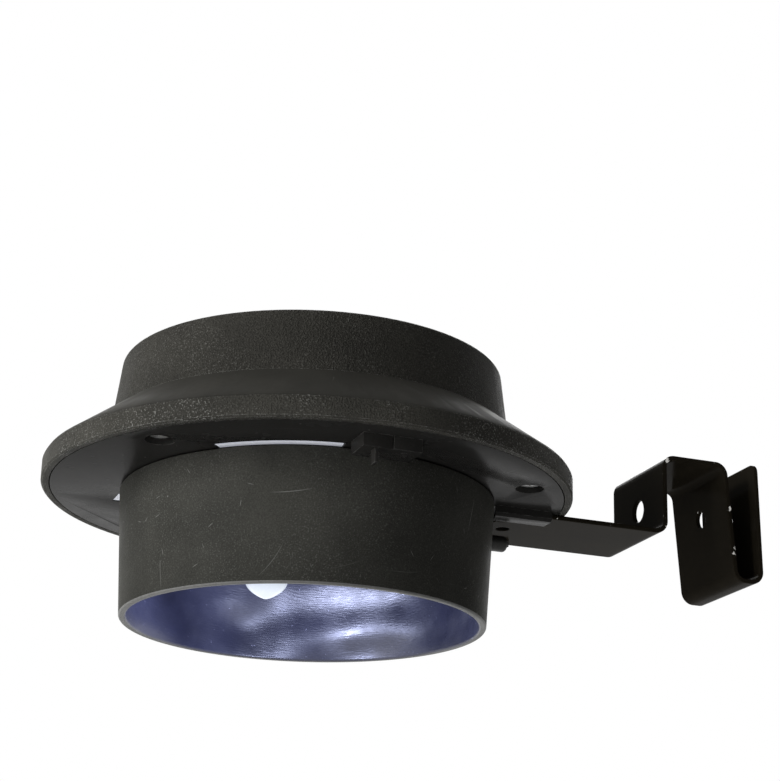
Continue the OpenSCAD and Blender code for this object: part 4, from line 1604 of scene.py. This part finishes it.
@dataclass(frozen=True)
class SoftLamp:
    """A square soft lamp: its name, its place and side in metres, and its power in watts."""

    name: str
    place: Point
    side: float
    power: float


@dataclass
class Studio:
    """Camera, lamps, world and floor. Lengths in metres, the camera's yaw, pitch and roll in radians."""

    lens: float = 90.4953
    sensor: float = 36.0
    clip: Pair = (0.01, 20.0)
    camera_at: Point = (-0.2135, -0.3920, -0.1344)
    yaw: float = 0.042
    pitch: float = 0.336
    roll: float = 0.026
    arm_turn: float = -17.65
    ambient: float = 0.11
    floor_at: Point = (-0.05, 0.0, -0.30)
    floor_r: float = 2.5
    floor_segments: int = 96
    floor_tone: float = 0.78
    floor_rough: float = 0.9
    floor_pale: float = 0.55
    lamps: tuple[SoftLamp, ...] = (SoftLamp("key", (-0.80, -0.19, 0.07), 0.4, 5.4),
                                   SoftLamp("fill", (0.16, 0.62, 0.40), 0.5, 3.0))
    lamps_aim: Point = (10.0, 0.0, 5.0)

    def build(self) -> None:
        """Builds the whole studio."""
        self.camera()
        self.world()
        self.floor()
        for lamp in self.lamps:
            self.light(lamp)
        bpy.context.scene.view_settings.view_transform = "Standard"

    def camera(self) -> None:
        """Camera at the photograph's viewing angle."""
        data = bpy.data.cameras.new("camera")
        data.lens = self.lens
        data.sensor_width = self.sensor
        data.sensor_fit = "HORIZONTAL"
        data.clip_start, data.clip_end = self.clip
        obj = linked(bpy.data.objects.new("camera", data))
        level = math.cos(self.pitch)
        forward = Vector((math.sin(self.yaw) * level, math.cos(self.yaw) * level, math.sin(self.pitch)))
        side = Vector((math.cos(self.yaw), -math.sin(self.yaw), 0.0))
        above = side.cross(forward)
        right = math.cos(self.roll) * side + math.sin(self.roll) * above
        up = -math.sin(self.roll) * side + math.cos(self.roll) * above
        axes = Matrix((right, up, -forward)).transposed().to_4x4()
        turned = Matrix.Rotation(math.radians(self.arm_turn), 4, "Z") @ axes
        obj.matrix_world = Matrix.Translation(Vector(self.camera_at)) @ turned
        bpy.context.scene.camera = obj

    def world(self) -> None:
        """Soft grey light, and pure white where the camera or a mirror sees the background."""
        world = bpy.data.worlds.new("studio")
        world.use_nodes = True
        bpy.context.scene.world = world
        wiring = Wiring(world.node_tree)
        path = wiring.add("ShaderNodeLightPath")
        seen = wiring.most(*(path.outputs[f"Is {ray} Ray"] for ray in ("Camera", "Glossy", "Transmission")))
        background = world.node_tree.nodes["Background"]
        wiring.feed(background, "Color", WHITE)
        wiring.feed(background, "Strength", wiring.ramp(seen, 0.0, 1.0, self.ambient, 1.0))

    def floor(self) -> None:
        """Plain pale floor, below the camera."""
        work = bmesh.new()
        bmesh.ops.create_circle(work, cap_ends=True, segments=self.floor_segments, radius=self.floor_r)
        mesh = worked(work, "floor")
        mesh.transform(Matrix.Translation(self.floor_at))
        mesh.materials.append(self.floor_paper())
        floor = linked(bpy.data.objects.new("floor", mesh))

    def floor_paper(self) -> bpy.types.Material:
        """Pale paper that keeps shadows, shows white in mirrors and is open from below.

        Returns:
            The new material.
        """
        paper = Surface("floor_paper")
        path = paper.add("ShaderNodeLightPath").outputs
        paled = paper.times(path["Is Camera Ray"], self.floor_pale)
        paper.put({
            "Base Color": (self.floor_tone,) * 3 + (1.0,),
            "Roughness": self.floor_rough,
            "Specular IOR Level": 0.0,
            "Emission Color": WHITE,
            "Emission Strength": paper.most(path["Is Glossy Ray"], path["Is Transmission Ray"], paled)})
        below = paper.add("ShaderNodeNewGeometry").outputs["Backfacing"]
        clear = paper.add("ShaderNodeBsdfTransparent")
        both = paper.add("ShaderNodeMixShader", {0: below, 1: paper.shader, 2: clear})
        paper.feed(paper.tree.nodes["Material Output"], "Surface", both)
        return paper.material

    def light(self, lamp: SoftLamp) -> None:
        """Sets up one lamp, aimed at the object.

        Args:
            lamp: The lamp's sizes.
        """
        data = bpy.data.lights.new(lamp.name, "AREA")
        data.shape = "SQUARE"
        data.size = lamp.side
        data.energy = lamp.power
        obj = linked(bpy.data.objects.new(lamp.name, data))
        place = Vector(lamp.place)
        turned = (lamp_point(*self.lamps_aim) - place).to_track_quat("-Z", "Y").to_matrix().to_4x4()
        obj.matrix_world = Matrix.Translation(place) @ turned


class GutterLight:
    """The whole lamp: every piece in its finish, on its body."""

    # Node, piece, slot and rounding in millimetres of each copy.
    ROUNDED = (
        ("top_housing", "housing_shell", "housing_plastic", 0.3),
        ("base_plate", "base_disc", "base_plastic", 0.18),
        ("led_holder", "led_post", "holder_plastic", 0.2),
    )

    def __init__(self, frame: dict) -> None:
        """Keeps the frame and makes the materials."""
        self.frame = frame
        self.book = FinishBook()

    def build(self) -> None:
        """Builds all sub-assemblies and dresses what is left of the CAD."""
        rounded = RoundedCopy(self.frame, self.book)
        for node, name, slot, width_mm in self.ROUNDED:
            rounded.make(node, name, slot, width_mm)
        lathe = Lathe()
        for kind in (ShadeAssembly, HookBracket, LedUnit, BaseScrews, SolarPanel):
            kind(self.book, lathe).build()
        self.dress_nodes()

    def dress_nodes(self) -> None:
        """Gives each CAD node the finish of its slot in the record."""
        slots = {part["node"]: part["material_slot"] for part in self.frame["record"]["subparts"]}
        for name, obj in self.frame["nodes"].items():
            obj.data.materials.clear()
            obj.data.materials.append(self.book[slots[name]])
            LOG.info("%s: finish %s", name, slots[name])


def corners(box: object) -> list[list[float]]:
    """A box's corners as plain lists of numbers."""
    return [[float(x) for x in corner] for corner in box]


def main() -> None:
    """Builds the scene in order."""
    logging.basicConfig(level=logging.INFO, format="%(name)s %(message)s")
    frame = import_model()
    Studio().build()
    GutterLight(frame).build()


if __name__ == "__main__":
    main()
